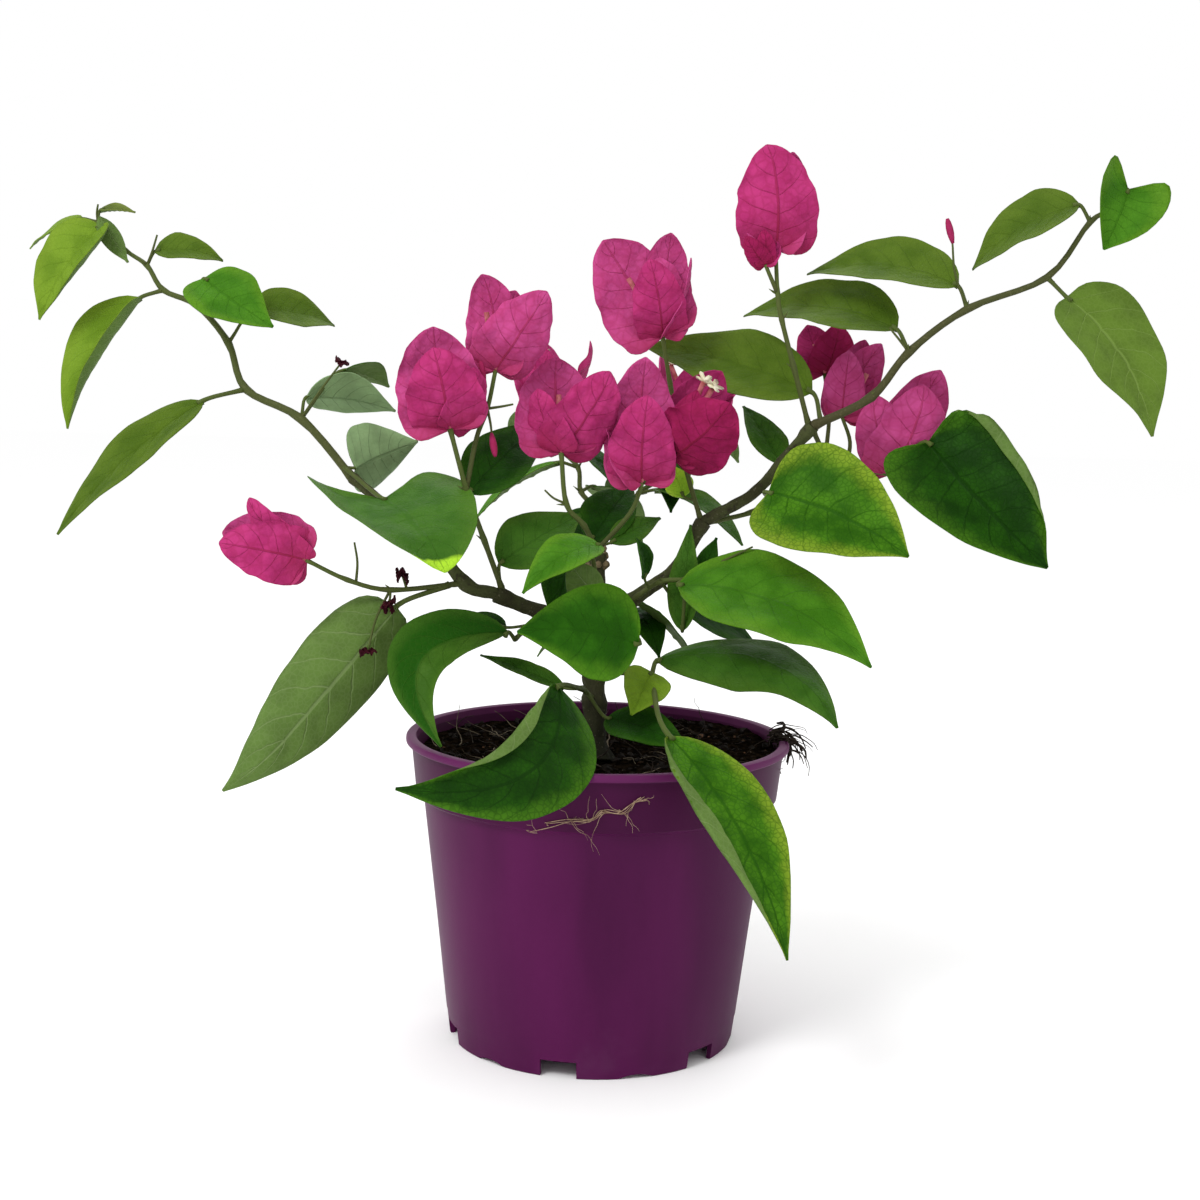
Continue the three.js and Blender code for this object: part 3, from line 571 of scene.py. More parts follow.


# Leaf tones: the colour, a darker one and the margin's, how much the veins, the net and the margin show, and where it
# has them the colour of its tip and the painted shade of one half. The last three are undersides: their colour and
# their veins'.
LEAF_TONES = {
    "deep": [(0.013, 0.062, 0.003), (0.005, 0.03, 0.001), (0.04, 0.12, 0.006), (0.5, 0.2, 0.4)],
    "mid": [(0.04, 0.115, 0.01), (0.022, 0.075, 0.005), (0.075, 0.15, 0.015), (0.4, 0.15, 0.4)],
    "bright": [(0.06, 0.19, 0.01), (0.03, 0.12, 0.004), (0.12, 0.25, 0.015), (0.5, 0.2, 0.5)],
    "light": [(0.14, 0.24, 0.016), (0.09, 0.17, 0.008), (0.18, 0.27, 0.025), (0.3, 0.12, 0.4)],
    "young": [(0.12, 0.16, 0.03), (0.07, 0.1, 0.018), (0.19, 0.23, 0.05), (0.3, 0.15, 0.4)],
    "mottled": [(0.05, 0.16, 0.005), (0.012, 0.065, 0.001), (0.2, 0.3, 0.02), (0.7, 0.4, 0.8)],
    "lime": [(0.3, 0.55, 0.03), (0.16, 0.36, 0.02), (0.4, 0.6, 0.06), (0.2, 0.1, 0.5)],
    "olive": [(0.075, 0.132, 0.011), (0.048, 0.095, 0.006), (0.11, 0.17, 0.02), (0.35, 0.12, 0.4)],
    "edged": [(0.012, 0.06, 0.002), (0.004, 0.025, 0.001), (0.055, 0.16, 0.008), (0.7, 0.35, 0.8)],
    "rich": [(0.022, 0.105, 0.003), (0.01, 0.06, 0.001), (0.08, 0.21, 0.01), (0.4, 0.15, 0.7)],
    "limed": [(0.05, 0.14, 0.014), (0.03, 0.1, 0.008), (0.09, 0.19, 0.02), (0.35, 0.12, 0.4), (0.35, 0.62, 0.03)],
    "halved": [
        (0.05, 0.125, 0.012), (0.03, 0.09, 0.007), (0.08, 0.17, 0.02), (0.5, 0.2, 0.4), None, (0.013, 0.075, 0.003),
    ],
    "underside": [(0.1, 0.175, 0.036), (0.2, 0.27, 0.11)],
    "backed": [(0.1, 0.175, 0.02), (0.18, 0.27, 0.06)],
    "pale": [(0.2, 0.31, 0.14), (0.1, 0.17, 0.07)],
}
TONES = list(LEAF_TONES)

# Bract tones: the colour, a deeper one and that of the base and veins.
BRACT_TONES = {
    "deep": [(0.29, 0.012, 0.08), (0.21, 0.007, 0.052), (0.16, 0.008, 0.025)],
    "mid": [(0.42, 0.033, 0.155), (0.33, 0.019, 0.11), (0.22, 0.012, 0.038)],
    "light": [(0.48, 0.062, 0.22), (0.4, 0.04, 0.16), (0.27, 0.018, 0.052)],
    "dried": [(0.05, 0.006, 0.012), (0.02, 0.003, 0.006), (0.015, 0.002, 0.004)],
}
PINKS = list(BRACT_TONES)

LEAF = {
    "outline": leaf_outline, "least": 0.5, "wave": 0.09, "ripples": 1.1, "frill": 0.02, "torn": 0.012,
    "veins": LEAF_VEINS, "puff": 0.5, "thickness": LEAF_THICKNESS, "rib": 0.7, "under": TONES.index("underside"),
}
BRACT = {
    "outline": bract_outline, "least": 0.4, "wave": 0.15, "ripples": 1.4, "frill": 0.06, "torn": 0.035,
    "veins": BRACT_VEINS, "puff": 0.6, "thickness": BRACT_THICKNESS, "rib": 0.4,
}
WITHERED = {**BRACT, "wave": 0.4, "frill": 0.2, "torn": 0.1}


# Finishes

class Wire:
    """A shader socket whose operators add Math nodes."""

    def __init__(self, finish, socket):
        self.finish = finish
        self.socket = socket

    def math(self, operation, *values):
        return self.finish.node("Math", {"operation": operation}, dict(enumerate(values)))

    def __add__(self, other):
        return self.math("ADD", self, other)

    def __sub__(self, other):
        return self.math("SUBTRACT", self, other)

    def __rsub__(self, other):
        return self.math("SUBTRACT", other, self)

    def __mul__(self, other):
        return self.math("MULTIPLY", self, other)

    def __abs__(self):
        return self.math("ABSOLUTE", self)

    __radd__ = __add__
    __rmul__ = __mul__


class Finish:
    """A material and the nodes that feed its shader."""

    def __init__(self, name, colour, roughness, shine):
        self.material = bpy.data.materials.new(name)
        self.material.use_nodes = True
        self.tree = self.material.node_tree
        self.shader = self.tree.nodes["Principled BSDF"]
        for key, value in {"Base Color": (*colour, 1), "Roughness": roughness, "Specular IOR Level": shine}.items():
            self.shader.inputs[key].default_value = value

    def feed(self, socket, value):
        if isinstance(value, Wire):
            self.tree.links.new(value.socket, socket)
        else:
            socket.default_value = value

    def node(self, kind, settings=None, inputs=None, output=0):
        made = self.tree.nodes.new("ShaderNode" + kind)
        for key, value in (settings or {}).items():
            setattr(made, key, value)
        for key, value in (inputs or {}).items():
            self.feed(made.inputs[key], value)
        return Wire(self, made.outputs[output])

    def place(self):
        return self.node("TexCoord", output="Object")

    def split(self, vector):
        outputs = self.node("SeparateXYZ", inputs={"Vector": vector}).socket.node.outputs
        return [Wire(self, socket) for socket in outputs]

    def noise(self, scale, detail=3, where=None):
        inputs = {"Vector": where or self.place(), "Scale": scale, "Detail": detail}
        return self.node("TexNoise", inputs=inputs)

    def step(self, value, low, high):
        """0 below low and 1 above high, softly between."""
        settings = {"interpolation_type": "SMOOTHSTEP"}
        return self.node("MapRange", settings, {"Value": value, "From Min": low, "From Max": high})

    def clouds(self, scale, detail, low, high):
        return self.step(self.noise(scale, detail), low, high)

    def mix(self, share, first, second):
        sides = {"Factor": share, 6: first, 7: second}
        sides = {key: (*side, 1) if isinstance(side, tuple) else side for key, side in sides.items()}
        return self.node("Mix", {"data_type": "RGBA"}, sides, output=2)

    def done(self, colour, height, depth, strength, roughness=None):
        """The material, fed its colour, relief of a depth in millimetres, and its roughness where that varies."""
        relief = {"Height": height, "Distance": depth * MM, "Strength": strength}
        self.feed(self.shader.inputs["Base Color"], colour)
        self.feed(self.shader.inputs["Normal"], self.node("Bump", inputs=relief))
        if roughness is not None:
            self.feed(self.shader.inputs["Roughness"], roughness)
        return self.material


def blade_places(finish):
    """A blade's own places: side from margin to margin, across from the midrib (0) to the margins (1), and along
    from base to tip."""
    side, along, _ = finish.split(finish.node("UVMap", {"uv_map": "blade"}))
    return side, abs((side - 0.5) * 2), along


def vein_mask(finish, across, along, veins, sharp):
    """1 on the midrib and on the side veins, which sweep forward a little unevenly."""
    uneven = 0.05 * (finish.noise(120, 2) - 0.5)
    phase = (along - 0.2 * across - 0.05 * across * across + uneven) * (veins + 1)
    gap = abs(phase - finish.node("Math", {"operation": "ROUND"}, {0: phase}))
    side = 1 - finish.step(gap, 0.01, sharp)
    rib = 1 - finish.step(across, 0.015, 0.05)
    return finish.node("Math", {"operation": "MAXIMUM"}, {0: rib, 1: side * (1 - 0.6 * across)})


def net_mask(finish, scale):
    """1 on the fine net between the side veins."""
    inputs = {"Vector": finish.place(), "Scale": scale}
    cells = finish.node("TexVoronoi", {"feature": "DISTANCE_TO_EDGE"}, inputs)
    return 1 - finish.step(cells, 0.02, 0.16)


def leaf_finish(name, colour, dark, margin, shares, tip=None, half=None):
    """Satin leaf: clouded, with a yellower margin and darker veins pressed in, and where they are given a tip of
    another colour and one half darkened as painted shade."""
    veined, netted, edged = shares
    finish = Finish(name, colour, 0.45, 0.05)
    side, across, along = blade_places(finish)
    veins = vein_mask(finish, across, along, LEAF_VEINS, 0.055)
    net = net_mask(finish, 520)
    blotch = finish.clouds(85, 5, 0.36, 0.64)
    fine = finish.noise(700, 2)
    body = finish.mix(blotch * 0.8, colour, dark)
    # Painted shade: one half of the blade, from a margin to the midrib, darker.
    if half:
        body = finish.mix(finish.step(side, 0.48, 0.52), body, half)
    body = finish.mix(finish.step(across + 0.5 * (finish.noise(130, 4) - 0.5), 0.5, 1.0) * edged, body, margin)
    if tip:
        body = finish.mix(finish.step(along + 0.1 * (finish.noise(150, 3) - 0.5), *LIME_TIP), body, tip)
    body = finish.mix(net * netted, body, dark)
    height = fine * 0.35 - veins * 0.6 - net * 0.25 + finish.noise(240, 3) * 0.7
    return finish.done(finish.mix(veins * veined, body, dark), height, 0.4, 0.7, 0.4 + 0.2 * fine)


def under_finish(name, colour, vein_colour):
    """The paler, duller side of a leaf, with its veins standing out."""
    finish = Finish(name, colour, 0.65, 0.08)
    _, across, along = blade_places(finish)
    veins = vein_mask(finish, across, along, LEAF_VEINS, 0.05)
    body = finish.mix(finish.clouds(90, 5, 0.35, 0.68) * 0.6, colour, tuple(0.62 * c for c in colour))
    body = finish.mix(net_mask(finish, 520) * 0.12, body, vein_colour)
    body = finish.mix(veins * 0.5, body, vein_colour)
    return finish.done(body, veins * 0.8 + finish.noise(300, 3) * 0.6, 0.4, 0.7)


def bract_finish(name, colour, deep, base):
    """Papery bract: crumpled, with thin darker veins and a redder base."""
    finish = Finish(name, colour, 0.7, 0.06)
    _, across, along = blade_places(finish)
    veins = vein_mask(finish, across, along, BRACT_VEINS, 0.035)
    crumple = finish.noise(150, 5)
    body = finish.mix(finish.step(crumple, 0.38, 0.62) * 0.7, colour, deep)
    body = finish.mix((1 - finish.step(along, 0.02, 0.45)) * 0.55, body, base)
    body = finish.mix(net_mask(finish, 260) * 0.22, body, base)
    height = crumple * 1.6 + finish.noise(420, 3) * 0.4 - veins * 0.4
    return finish.done(finish.mix(veins * (0.85 - 0.5 * along), body, base), height, 0.8, 0.8)


def stem_finish():
    """Green shoots that turn to brown bark with age."""
    finish = Finish("shoot", (0.07, 0.085, 0.025), 0.6, 0.1)
    age = finish.node("Attribute", {"attribute_name": "age"}, output="Fac")
    spots = finish.clouds(900, 3, 0.56, 0.66)
    young = finish.mix(finish.noise(160, 3), (0.06, 0.1, 0.018), (0.095, 0.125, 0.03))
    old = finish.mix(spots * 0.5, (0.045, 0.035, 0.018), (0.11, 0.09, 0.05))
    return finish.done(finish.mix(age, old, young), finish.noise(1400, 3), 0.25, 0.6)


def bark_finish():
    """Grey-brown bark with a few pale pores and greener patches, and painted shade that darkens it low down, under
    the leaves.
    """
    finish = Finish("bark", (0.08, 0.065, 0.04), 0.85, 0.08)
    pores = finish.clouds(800, 3, 0.62, 0.68)
    patches = finish.clouds(60, 4, 0.4, 0.65)
    height = finish.split(finish.place())[2]
    body = finish.mix(patches, (0.036, 0.036, 0.016), (0.06, 0.07, 0.026))
    body = finish.mix(finish.clouds(280, 5, 0.5, 0.75), body, (0.026, 0.022, 0.014))
    # Painted shade: the bark darker below 112 to 150 mm high, where the leaves shade the trunk and boughs.
    body = finish.mix(finish.step(height, 0.112, 0.15), (0.012, 0.012, 0.007), body)
    body = finish.mix(pores * 0.4, body, (0.15, 0.14, 0.09))
    return finish.done(body, finish.noise(500, 6) + pores * 0.3, 0.6, 0.8, 0.75 + 0.2 * patches)


def pot_finish():
    """Purple moulded plastic with flow marks, a fine grain, dust towards the foot, painted shade over the collar and
    a painted highlight along the lip.
    """
    finish = Finish("pot_plastic", (0.075, 0.008, 0.06), 0.45, 0.08)
    where = finish.place()
    height = finish.split(where)[2]
    flow = finish.node("Mapping", inputs={"Vector": where, "Scale": (26, 26, 5)})
    cloud = finish.noise(1, 4, flow)
    dust = finish.step(finish.noise(60, 6) + (0.02 - height) * 6, 0.56, 0.9)
    body = finish.mix(finish.step(cloud, 0.3, 0.7), (0.08, 0.006, 0.057), (0.055, 0.004, 0.04))
    # Painted shade: the collar and all above it darker.
    body = finish.mix(finish.step(height, *COLLAR_SHADE_EDGE) * 0.6, body, (0.035, 0.002, 0.024))
    # Painted highlight: the lip lighter.
    body = finish.mix(finish.step(height, *LIP_HIGHLIGHT_EDGE) * 0.6, body, (0.13, 0.02, 0.1))
    body = finish.mix(dust * 0.2, body, (0.12, 0.04, 0.1))
    height = finish.noise(1500, 2) * 0.5 + finish.noise(120, 3) * 0.4
    return finish.done(body, height, 0.12, 0.5, 0.36 + 0.2 * cloud + 0.1 * dust)


def soil_finish():
    finish = Finish("compost", (0.01, 0.006, 0.004), 1, 0)
    crumbs = finish.clouds(420, 6, 0.4, 0.66)
    body = finish.mix(crumbs, (0.002, 0.0015, 0.001), (0.012, 0.008, 0.005))
    body = finish.mix(finish.clouds(900, 3, 0.68, 0.74) * 0.4, body, (0.07, 0.055, 0.04))
    return finish.done(body, finish.noise(500, 6), 2, 0.9)


def plain_finish(name, light, dark, roughness=0.8, scale=400):
    """A matt finish clouded between two shades."""
    finish = Finish(name, light, roughness, 0.1)
    body = finish.mix(finish.clouds(scale, 4, 0.35, 0.68), light, dark)
    return finish.done(body, finish.noise(2 * scale, 4), 0.3, 0.6)


# Pieces shaped with the modelling operators

def deselect():
    bpy.ops.object.select_all(action="DESELECT")


def pick(piece):
    deselect()
    piece.select_set(True)
    bpy.context.view_layer.objects.active = piece


def face_outward(piece):
    pick(piece)
    bpy.ops.object.mode_set(mode="EDIT")
    bpy.ops.mesh.select_all(action="SELECT")
    bpy.ops.mesh.normals_make_consistent(inside=False)
    bpy.ops.object.mode_set(mode="OBJECT")


def drawn_up(name, rings, vertices):
    """A closed solid drawn up through rings [radius, height]."""
    deselect()
    radius, height = rings[0]
    bpy.ops.mesh.primitive_circle_add(
        vertices=vertices, radius=radius * MM, fill_type="NGON", location=(0, 0, height * MM))
    piece = bpy.context.object
    piece.name = name
    bpy.ops.object.transform_apply(location=True)
    bpy.ops.object.mode_set(mode="EDIT")
    bpy.ops.mesh.select_all(action="SELECT")
    for (radius, height), (next_radius, next_height) in zip(rings, rings[1:]):
        rise = (next_height - height) * MM
        bpy.ops.mesh.extrude_region_move(TRANSFORM_OT_translate={"value": (0, 0, rise)})
        growth = next_radius / radius
        bpy.ops.transform.resize(value=(growth, growth, 1), center_override=(0, 0, next_height * MM))
    bpy.ops.object.mode_set(mode="OBJECT")
    face_outward(piece)
    return piece


def cut(piece, cutter):
    """Takes the cutter's shape out of a piece, and removes the cutter."""
    modifier = piece.modifiers.new("cut", "BOOLEAN")
    modifier.object = cutter
    modifier.solver = "EXACT"
    pick(piece)
    bpy.ops.object.modifier_apply(modifier=modifier.name)
    bpy.data.objects.remove(cutter)


def smooth_over(piece, angle):
    pick(piece)
    bpy.ops.object.shade_smooth_by_angle(angle=radians(angle))


def dress(piece, material, slot, *nodes):
    """Gives a piece its finish, its ride and the part's nodes that it stands for; its slot is not used."""
    if material:
        piece.data.materials.clear()
        piece.data.materials.append(material)
    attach(piece, "root")
    if nodes:
        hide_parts(*nodes)
    return piece


def wall_at(height):
    return BASE_RADIUS + (BODY_TOP_RADIUS - BASE_RADIUS) * height / (POT_HEIGHT - COLLAR_HEIGHT)


def make_pot():
    """The pot, from its pad over its ring foot, wall, collar and lip to its inside."""
    collar = POT_HEIGHT - COLLAR_HEIGHT
    band = 10
    floor = FOOT_HEIGHT + WALL
    profile = [
        (PAD_RADIUS, 0, [(-0.5, 0), (0, 0.5), (0, FOOT_HEIGHT)]),
        (wall_at(FOOT_HEIGHT) - WALL, FOOT_HEIGHT, [(0, 0)]),
        (BASE_RADIUS - WALL, 0, [(0, 0.4), (0.4, 0)]),
        (BASE_RADIUS, 0, [(-0.4, 0), (0, 0.4)]),
        (wall_at(band), band, [(0, -0.3), (0.25, 0.3)]),
        (wall_at(collar / 2), collar / 2, [(0.1, 0)]),
        (BODY_TOP_RADIUS, collar, [(0, -2.4), (0.2, -1.6)]),
        (COLLAR_FOOT_RADIUS, collar, [(-0.5, -0.6), (0, 0), (0.1, 0.8)]),
        (COLLAR_TOP_RADIUS, POT_HEIGHT, [(-0.2, -3.6), (0.3, -3)]),
        (RIM_RADIUS, POT_HEIGHT, [(-0.5, -2.8), (-0.1, -2.4), (0, -1.8), (-0.1, -0.8), (-0.5, -0.2), (-1.2, 0)]),
        (COLLAR_TOP_RADIUS - WALL, POT_HEIGHT, [(0.8, 0), (0.2, -0.3), (0, -1)]),
        (COLLAR_FOOT_RADIUS - WALL, collar, [(0, 2)]),
        (BODY_TOP_RADIUS - WALL, collar, [(0, -1)]),
        (wall_at(FOOT_HEIGHT) - WALL, floor, [(0, 0)]),
        (10, floor, [(0, 0)]),
    ]
    rings = [(radius + out, height + up) for radius, height, steps in profile for out, up in steps]
    pot = drawn_up("pot_shell", rings, 192)
    for i in range(NOTCHES):
        bearing = radians(FIRST_NOTCH_BEARING + 360 / NOTCHES * i)
        deselect()
        bpy.ops.mesh.primitive_cube_add(size=1)
        notch = bpy.context.object
        notch.scale = (CUT_LENGTH * MM, NOTCH_WIDTH * MM, 2 * NOTCH_RISE * MM)
        bpy.ops.object.transform_apply(scale=True)
        notch.data.transform(Matrix.Rotation(bearing, 4, "Z") @ Matrix.Translation((BASE_RADIUS * MM, 0, 0)))
        cut(pot, notch)
        deselect()
        bpy.ops.mesh.primitive_cylinder_add(vertices=64, radius=SCOOP_RADIUS * MM, depth=CUT_LENGTH * MM)
        scoop = bpy.context.object
        place = Matrix.Translation(Vector((BASE_RADIUS, 0, SCOOP_RISE - SCOOP_RADIUS)) * MM)
        turn = Matrix.Rotation(bearing + pi / NOTCHES, 4, "Z")
        scoop.data.transform(turn @ place @ Matrix.Rotation(pi / 2, 4, "Y"))
        cut(pot, scoop)
    smooth_over(pot, 32)
    dress(pot, pot_finish(), "pot", "pot")


def soil_height(x, y):
    """The level of the soil, with its heap and its crumbly relief."""
    spot = Vector((x, y, 0))
    heap = max(0, spot.dot(heading(HEAP_BEARING, 0)) / SOIL_RADIUS - 0.45) * 2 * SOIL_HEAP
    relief = noise.noise(spot * 0.07) * 1.4 + noise.noise(spot * 0.24) * 0.9 + noise.noise(spot * 0.8) * 0.45
    return SOIL_LEVEL + heap + relief


def soil_place(draw, share, lift):
    """A place on the soil within a share of its radius, some way above or under its surface."""
    bearing, reach = 360 * draw(), SOIL_RADIUS * sqrt(draw()) * share
    x, y = reach * cos(radians(bearing)), reach * sin(radians(bearing))
    return Vector((x, y, soil_height(x, y) + lift))


def make_soil():
    levels = [(66, 100), (SOIL_RADIUS, SOIL_LEVEL - 2)]
    levels += [(SOIL_RADIUS * share, SOIL_LEVEL) for share in np.linspace(0.995, 0.02, 46)]
    bed = drawn_up("soil_bed", levels, 160)
    for vertex in bed.data.vertices:
        if vertex.co.z > (SOIL_LEVEL - 0.5) * MM:
            vertex.co.z = soil_height(vertex.co.x / MM, vertex.co.y / MM) * MM
    smooth_over(bed, 60)
    dress(bed, soil_finish(), "soil", "soil")


def limb_piece(name, points, radius_at, bark):
    """A limb drawn up straight, then laid along its path, its bark ridged and wrinkled."""
    path = smooth_path(points, 14)
    piece = drawn_up(name + "_bark", [(1, i) for i in range(len(path))], 28)
    ways = ways_across(path)
    travelled = [0]
    for here, there in zip(path, path[1:]):
        travelled.append(travelled[-1] + (there - here).length)
    for vertex in piece.data.vertices:
        ring = round(vertex.co.z / MM)
        point, (x_way, y_way), distance = path[ring], ways[ring], travelled[ring]
        x, y = vertex.co.x / MM, vertex.co.y / MM
        spot = Vector((x * 2.2, y * 2.2, distance * 0.16))
        relief = 0.16 * noise.noise(spot) + 0.07 * noise.noise(spot * 2.7) + 0.035 * noise.noise(spot * 7)
        radius = radius_at(distance) * (1 + relief)
        vertex.co = (point + (x_way * x + y_way * y) * radius) * MM
    face_outward(piece)
    smooth_over(piece, 60)
    dress(piece, bark, "wood", name)


def make_limbs():
    """The six limbs. Each swells where another limb or a shoot leaves it."""
    bark = bark_finish()
    places = {}
    for name, limb in LIMBS.items():
        start = start_of(places, limb["at"], limb["route"])[1] if "at" in limb else Vector(TRUNK_FOOT)
        places[name] = route_points(start, limb["route"])
    starts = [one["at"] for one in [*LIMBS.values(), *MASSES.values()] if "at" in one]
    for name, limb in LIMBS.items():
        points, route = places[name], limb["route"]
        thick, thin = limb["radii"]
        length = sum(step[0] for step in route)
        knots = [along for parent, along, _ in starts if parent == name]
        below = limb["at"][2] if "at" in limb else TRUNK_SUNK

        def radius_at(distance):
            radius = thick + (thin - thick) * min(1, distance / length)
            swell = sum(exp(-((distance - knot) / SWELL_LENGTH) ** 2) for knot in knots)
            radius *= 1 + SWELL * min(swell, 1.6)
            if name == "trunk":
                radius *= 1 + (FLARE - 1) * max(0, 1 - distance / FLARE_HEIGHT) ** 1.6
            return radius

        way = heading(*route[0][1:])
        limb_piece(name, [points[0] - way * below, *points], lambda travelled: radius_at(travelled - below), bark)
    return places


def make_knob(trunk):
    """Stubs and swollen buds round the head of the trunk, where it was cut back."""
    draw = seeded(SEEDS["knob"])
    knob = Bundle()
    for i in range(KNOBS):
        foot = trunk[-1] - Vector((0, 0, 7 * draw()))
        way = heading(137 * i, 10 + 50 * draw())
        tip = foot + way * (3.6 + 2.4 * draw())
        add_tube(knob, [foot, foot.lerp(tip, 0.6), tip, tip + way * 0.5], lambda s: 1.7 * (1 - 0.5 * s ** 3), 8)
    cut_wood = plain_finish("knob_bark", (0.17, 0.13, 0.07), (0.045, 0.035, 0.02), 0.9)
    dress(knob.piece("trunk_knob", [cut_wood]), None, "wood")


# Leaves, bracts and flowers

def grow_wild(mass):
    """The part's rule for wild growth: a stem that leans to one side and the other at its joints, a leaf at each
    joint two fifths of a turn on from the last and smaller towards the tip, and a head of bracts on the end."""
    draw = seeded(mass["seed"])
    bearing, climb = mass["heading"]
    stem, leaves = [], []
    for j in range(mass["joints"]):
        lean = (1 if j % 2 else -1) * (14 + 10 * draw())
        stem.append([WILD_PACE * (0.85 + 0.3 * draw()), bearing + lean, climb + 16 * (draw() - 0.4)])
        way = bearing + 144 * (j + 1) + 30 * (draw() - 0.5)
        reach = mass["size"] * (1 - 0.12 * j) * (0.85 + 0.2 * draw())
        droop = -22 - 34 * draw()
        blade = [reach, 0.5 * reach, way, droop]
        leaves.append([j + 1, [9, way, 12], blade, [way, 50], 30 + 20 * draw(), 12, TONES[j % 3]])
    turns = [bearing + 360 / WILD_BRACTS * i for i in range(WILD_BRACTS)]
    heads = [[mass["joints"], [[*WILD_BRACT, turn, 62, turn] for turn in turns], "mid", 1]]
    return {"stem": stem, "leaves": leaves[mass["skip"]:], "heads": heads if mass["flowers"] else []}


def add_stalk(shoots, joint, base, leave, arrive, radius, ages):
    """A leaf's stalk: it leaves the stem one way and bends to run into the blade."""
    reach = (base - joint).length * 0.4
    first, last = joint + leave * reach, base - arrive * reach * 0.6
    path = []
    for i in range(9):
        t = i / 8
        path.append(
            joint * (1 - t) ** 3 + first * 3 * t * (1 - t) ** 2 + last * 3 * t ** 2 * (1 - t) + base * t ** 3)
    path.append(base + arrive * 1.6)
    add_tube(shoots, path, lambda s: radius * (1 + 0.5 * (2 * s - 1) ** 4), 8, ages=ages)


def add_leaf(leaves, shoots, joints, row, chance):
    number, (length, bearing, climb), blade, faces, bend, fold, tone, *shape = row
    joint = point_at(joints, number)
    leave = heading(bearing, climb)
    base = joint + leave * length
    chord = heading(*blade[2:])
    up = heading(*faces)
    up = (up - up.dot(chord) * chord).normalized()
    turn = radians(bend / 2)
    arrive = chord * cos(turn) + up * sin(turn)
    radius = 0.45 + 0.006 * blade[0]
    add_stalk(shoots, joint, base, leave, arrive, radius, (0.6, 0.95))
    add_blade(leaves, base, blade, faces, bend, fold, LEAF, chance, TONES.index(tone), *shape)


def add_star(flowers, place, axis, size):
    """An open flower: five notched cream lobes round a throat."""
    side = axis.orthogonal().normalized()
    other = axis.cross(side)
    shape = [place + axis * 0.2, place - axis * 0.5]
    for i in range(STAR_POINTS):
        turn = 2 * pi * i / STAR_POINTS
        reach = size * (0.45, 0.85, 1.0, 0.85)[i % 4]
        out = side * cos(turn) + other * sin(turn)
        shape.append(place + out * reach + axis * (0.25 * reach if i % 4 else 0.6))
    faces = []
    for i in range(STAR_POINTS):
        here, there = 2 + i, 2 + (i + 1) % STAR_POINTS
        faces += [(0, here, there, 0), (1, there, here, 1)]
    flowers.add(shape, faces, 1)


def add_head(bracts, flowers, joint, row, chance):
    """Bracts round the end of a flower stem, each with a slender flower on its midrib; the ones in front keep the
    head's deeper pink as painted shade and those behind are painted paler as if lit.
    """
    pink, stars = PINKS.index(row[2]), sum(row[3:])
    for i, (length, width, bearing, climb, facing) in enumerate(row[1]):
        out = heading(facing, 0)
        way = heading(bearing, climb)
        margins = (0.2 * (chance() - 0.5), 0.2 * (chance() - 0.5))
        blade = [length, width, bearing, climb]
        base = joint + out * 0.6
        # Painted light and shade: a bract facing front keeps the head's pink, one facing back takes the next paler
        # pink.
        pink_shaded_by_facing = pink if facing > 180 else min(pink + 1, 2)
        bow = 0.08 * (chance() - 0.5)
        add_blade(
            bracts, base, blade, [facing, 0], BRACT_BEND, BRACT_FOLD, BRACT, chance, pink_shaded_by_facing, bow, BRACT_LOBES, margins,
            -0.3 * chance())
        if length < 20:
            continue
        inward = (way - out * 0.12).normalized()
        foot = joint - out * 0.4
        opened = 1 <= i <= stars
        throat = foot + inward * (OPEN_FLOWER if opened else length * (0.4 if facing > 180 else 0.58))
        add_tube(
            flowers, smooth_path([foot, foot.lerp(throat, 0.5) - out * 0.6, throat], 4),
            lambda s: 0.55 + 0.6 * sin(min(1, s * 1.1) * 2.2), 7)
        if opened:
            add_star(flowers, throat + inward * 0.4, (inward - out * 0.8).normalized(), STAR_SIZE)


def add_twig(shoots, bracts, joints, row, draw):
    """A thin stalk that ends bare, in a closed bud or in a withered flower."""
    number, bearing, climb, length, end = row
    foot = point_at(joints, number)
    way = heading(bearing, climb)
    tip = foot + way * length
    middle = foot.lerp(tip, 0.5) + Vector((draw() - 0.5, 0, draw() - 0.5)) * 0.14 * length
    add_tube(shoots, smooth_path([foot, middle, tip], 5), lambda s: 0.5 * (1.15 - 0.4 * s), 6, ages=(0.5, 0.7))
    if end == "bud":
        add_tube(bracts, [tip + way * step for step in (-1, 1, 3, 5, 7, 8.5)],
                 lambda s: 0.3 + 1.1 * sin(pi * (0.08 + 0.84 * s)), 8, PINKS.index("mid"))
    if end == "dried":
        for i in range(WITHERED_PETALS):
            petal = [3.6 + 2 * draw(), 3.4, bearing + 360 / WITHERED_PETALS * i, -70 + 120 * draw()]
            add_blade(bracts, tip, petal, [petal[2], 20], 70, 30, WITHERED, draw, PINKS.index("dried"))


def add_buds(shoots, joints, draw):
    """A small hooked thorn or bud in the angle of each joint."""
    for before, joint in zip(joints, joints[1:-1]):
        along = (joint - before).normalized()
        around = Matrix.Rotation(WHOLE_TURN * draw(), 3, along) @ along.orthogonal().normalized()
        point = joint + (around + along * 0.6).normalized() * (2.6 + 1.6 * draw())
        add_tube(shoots, [joint, joint.lerp(point, 0.5), point + along * 0.5], lambda s: 0.75 * (1.12 - s), 5,
                 ages=(0.4, 0.8))


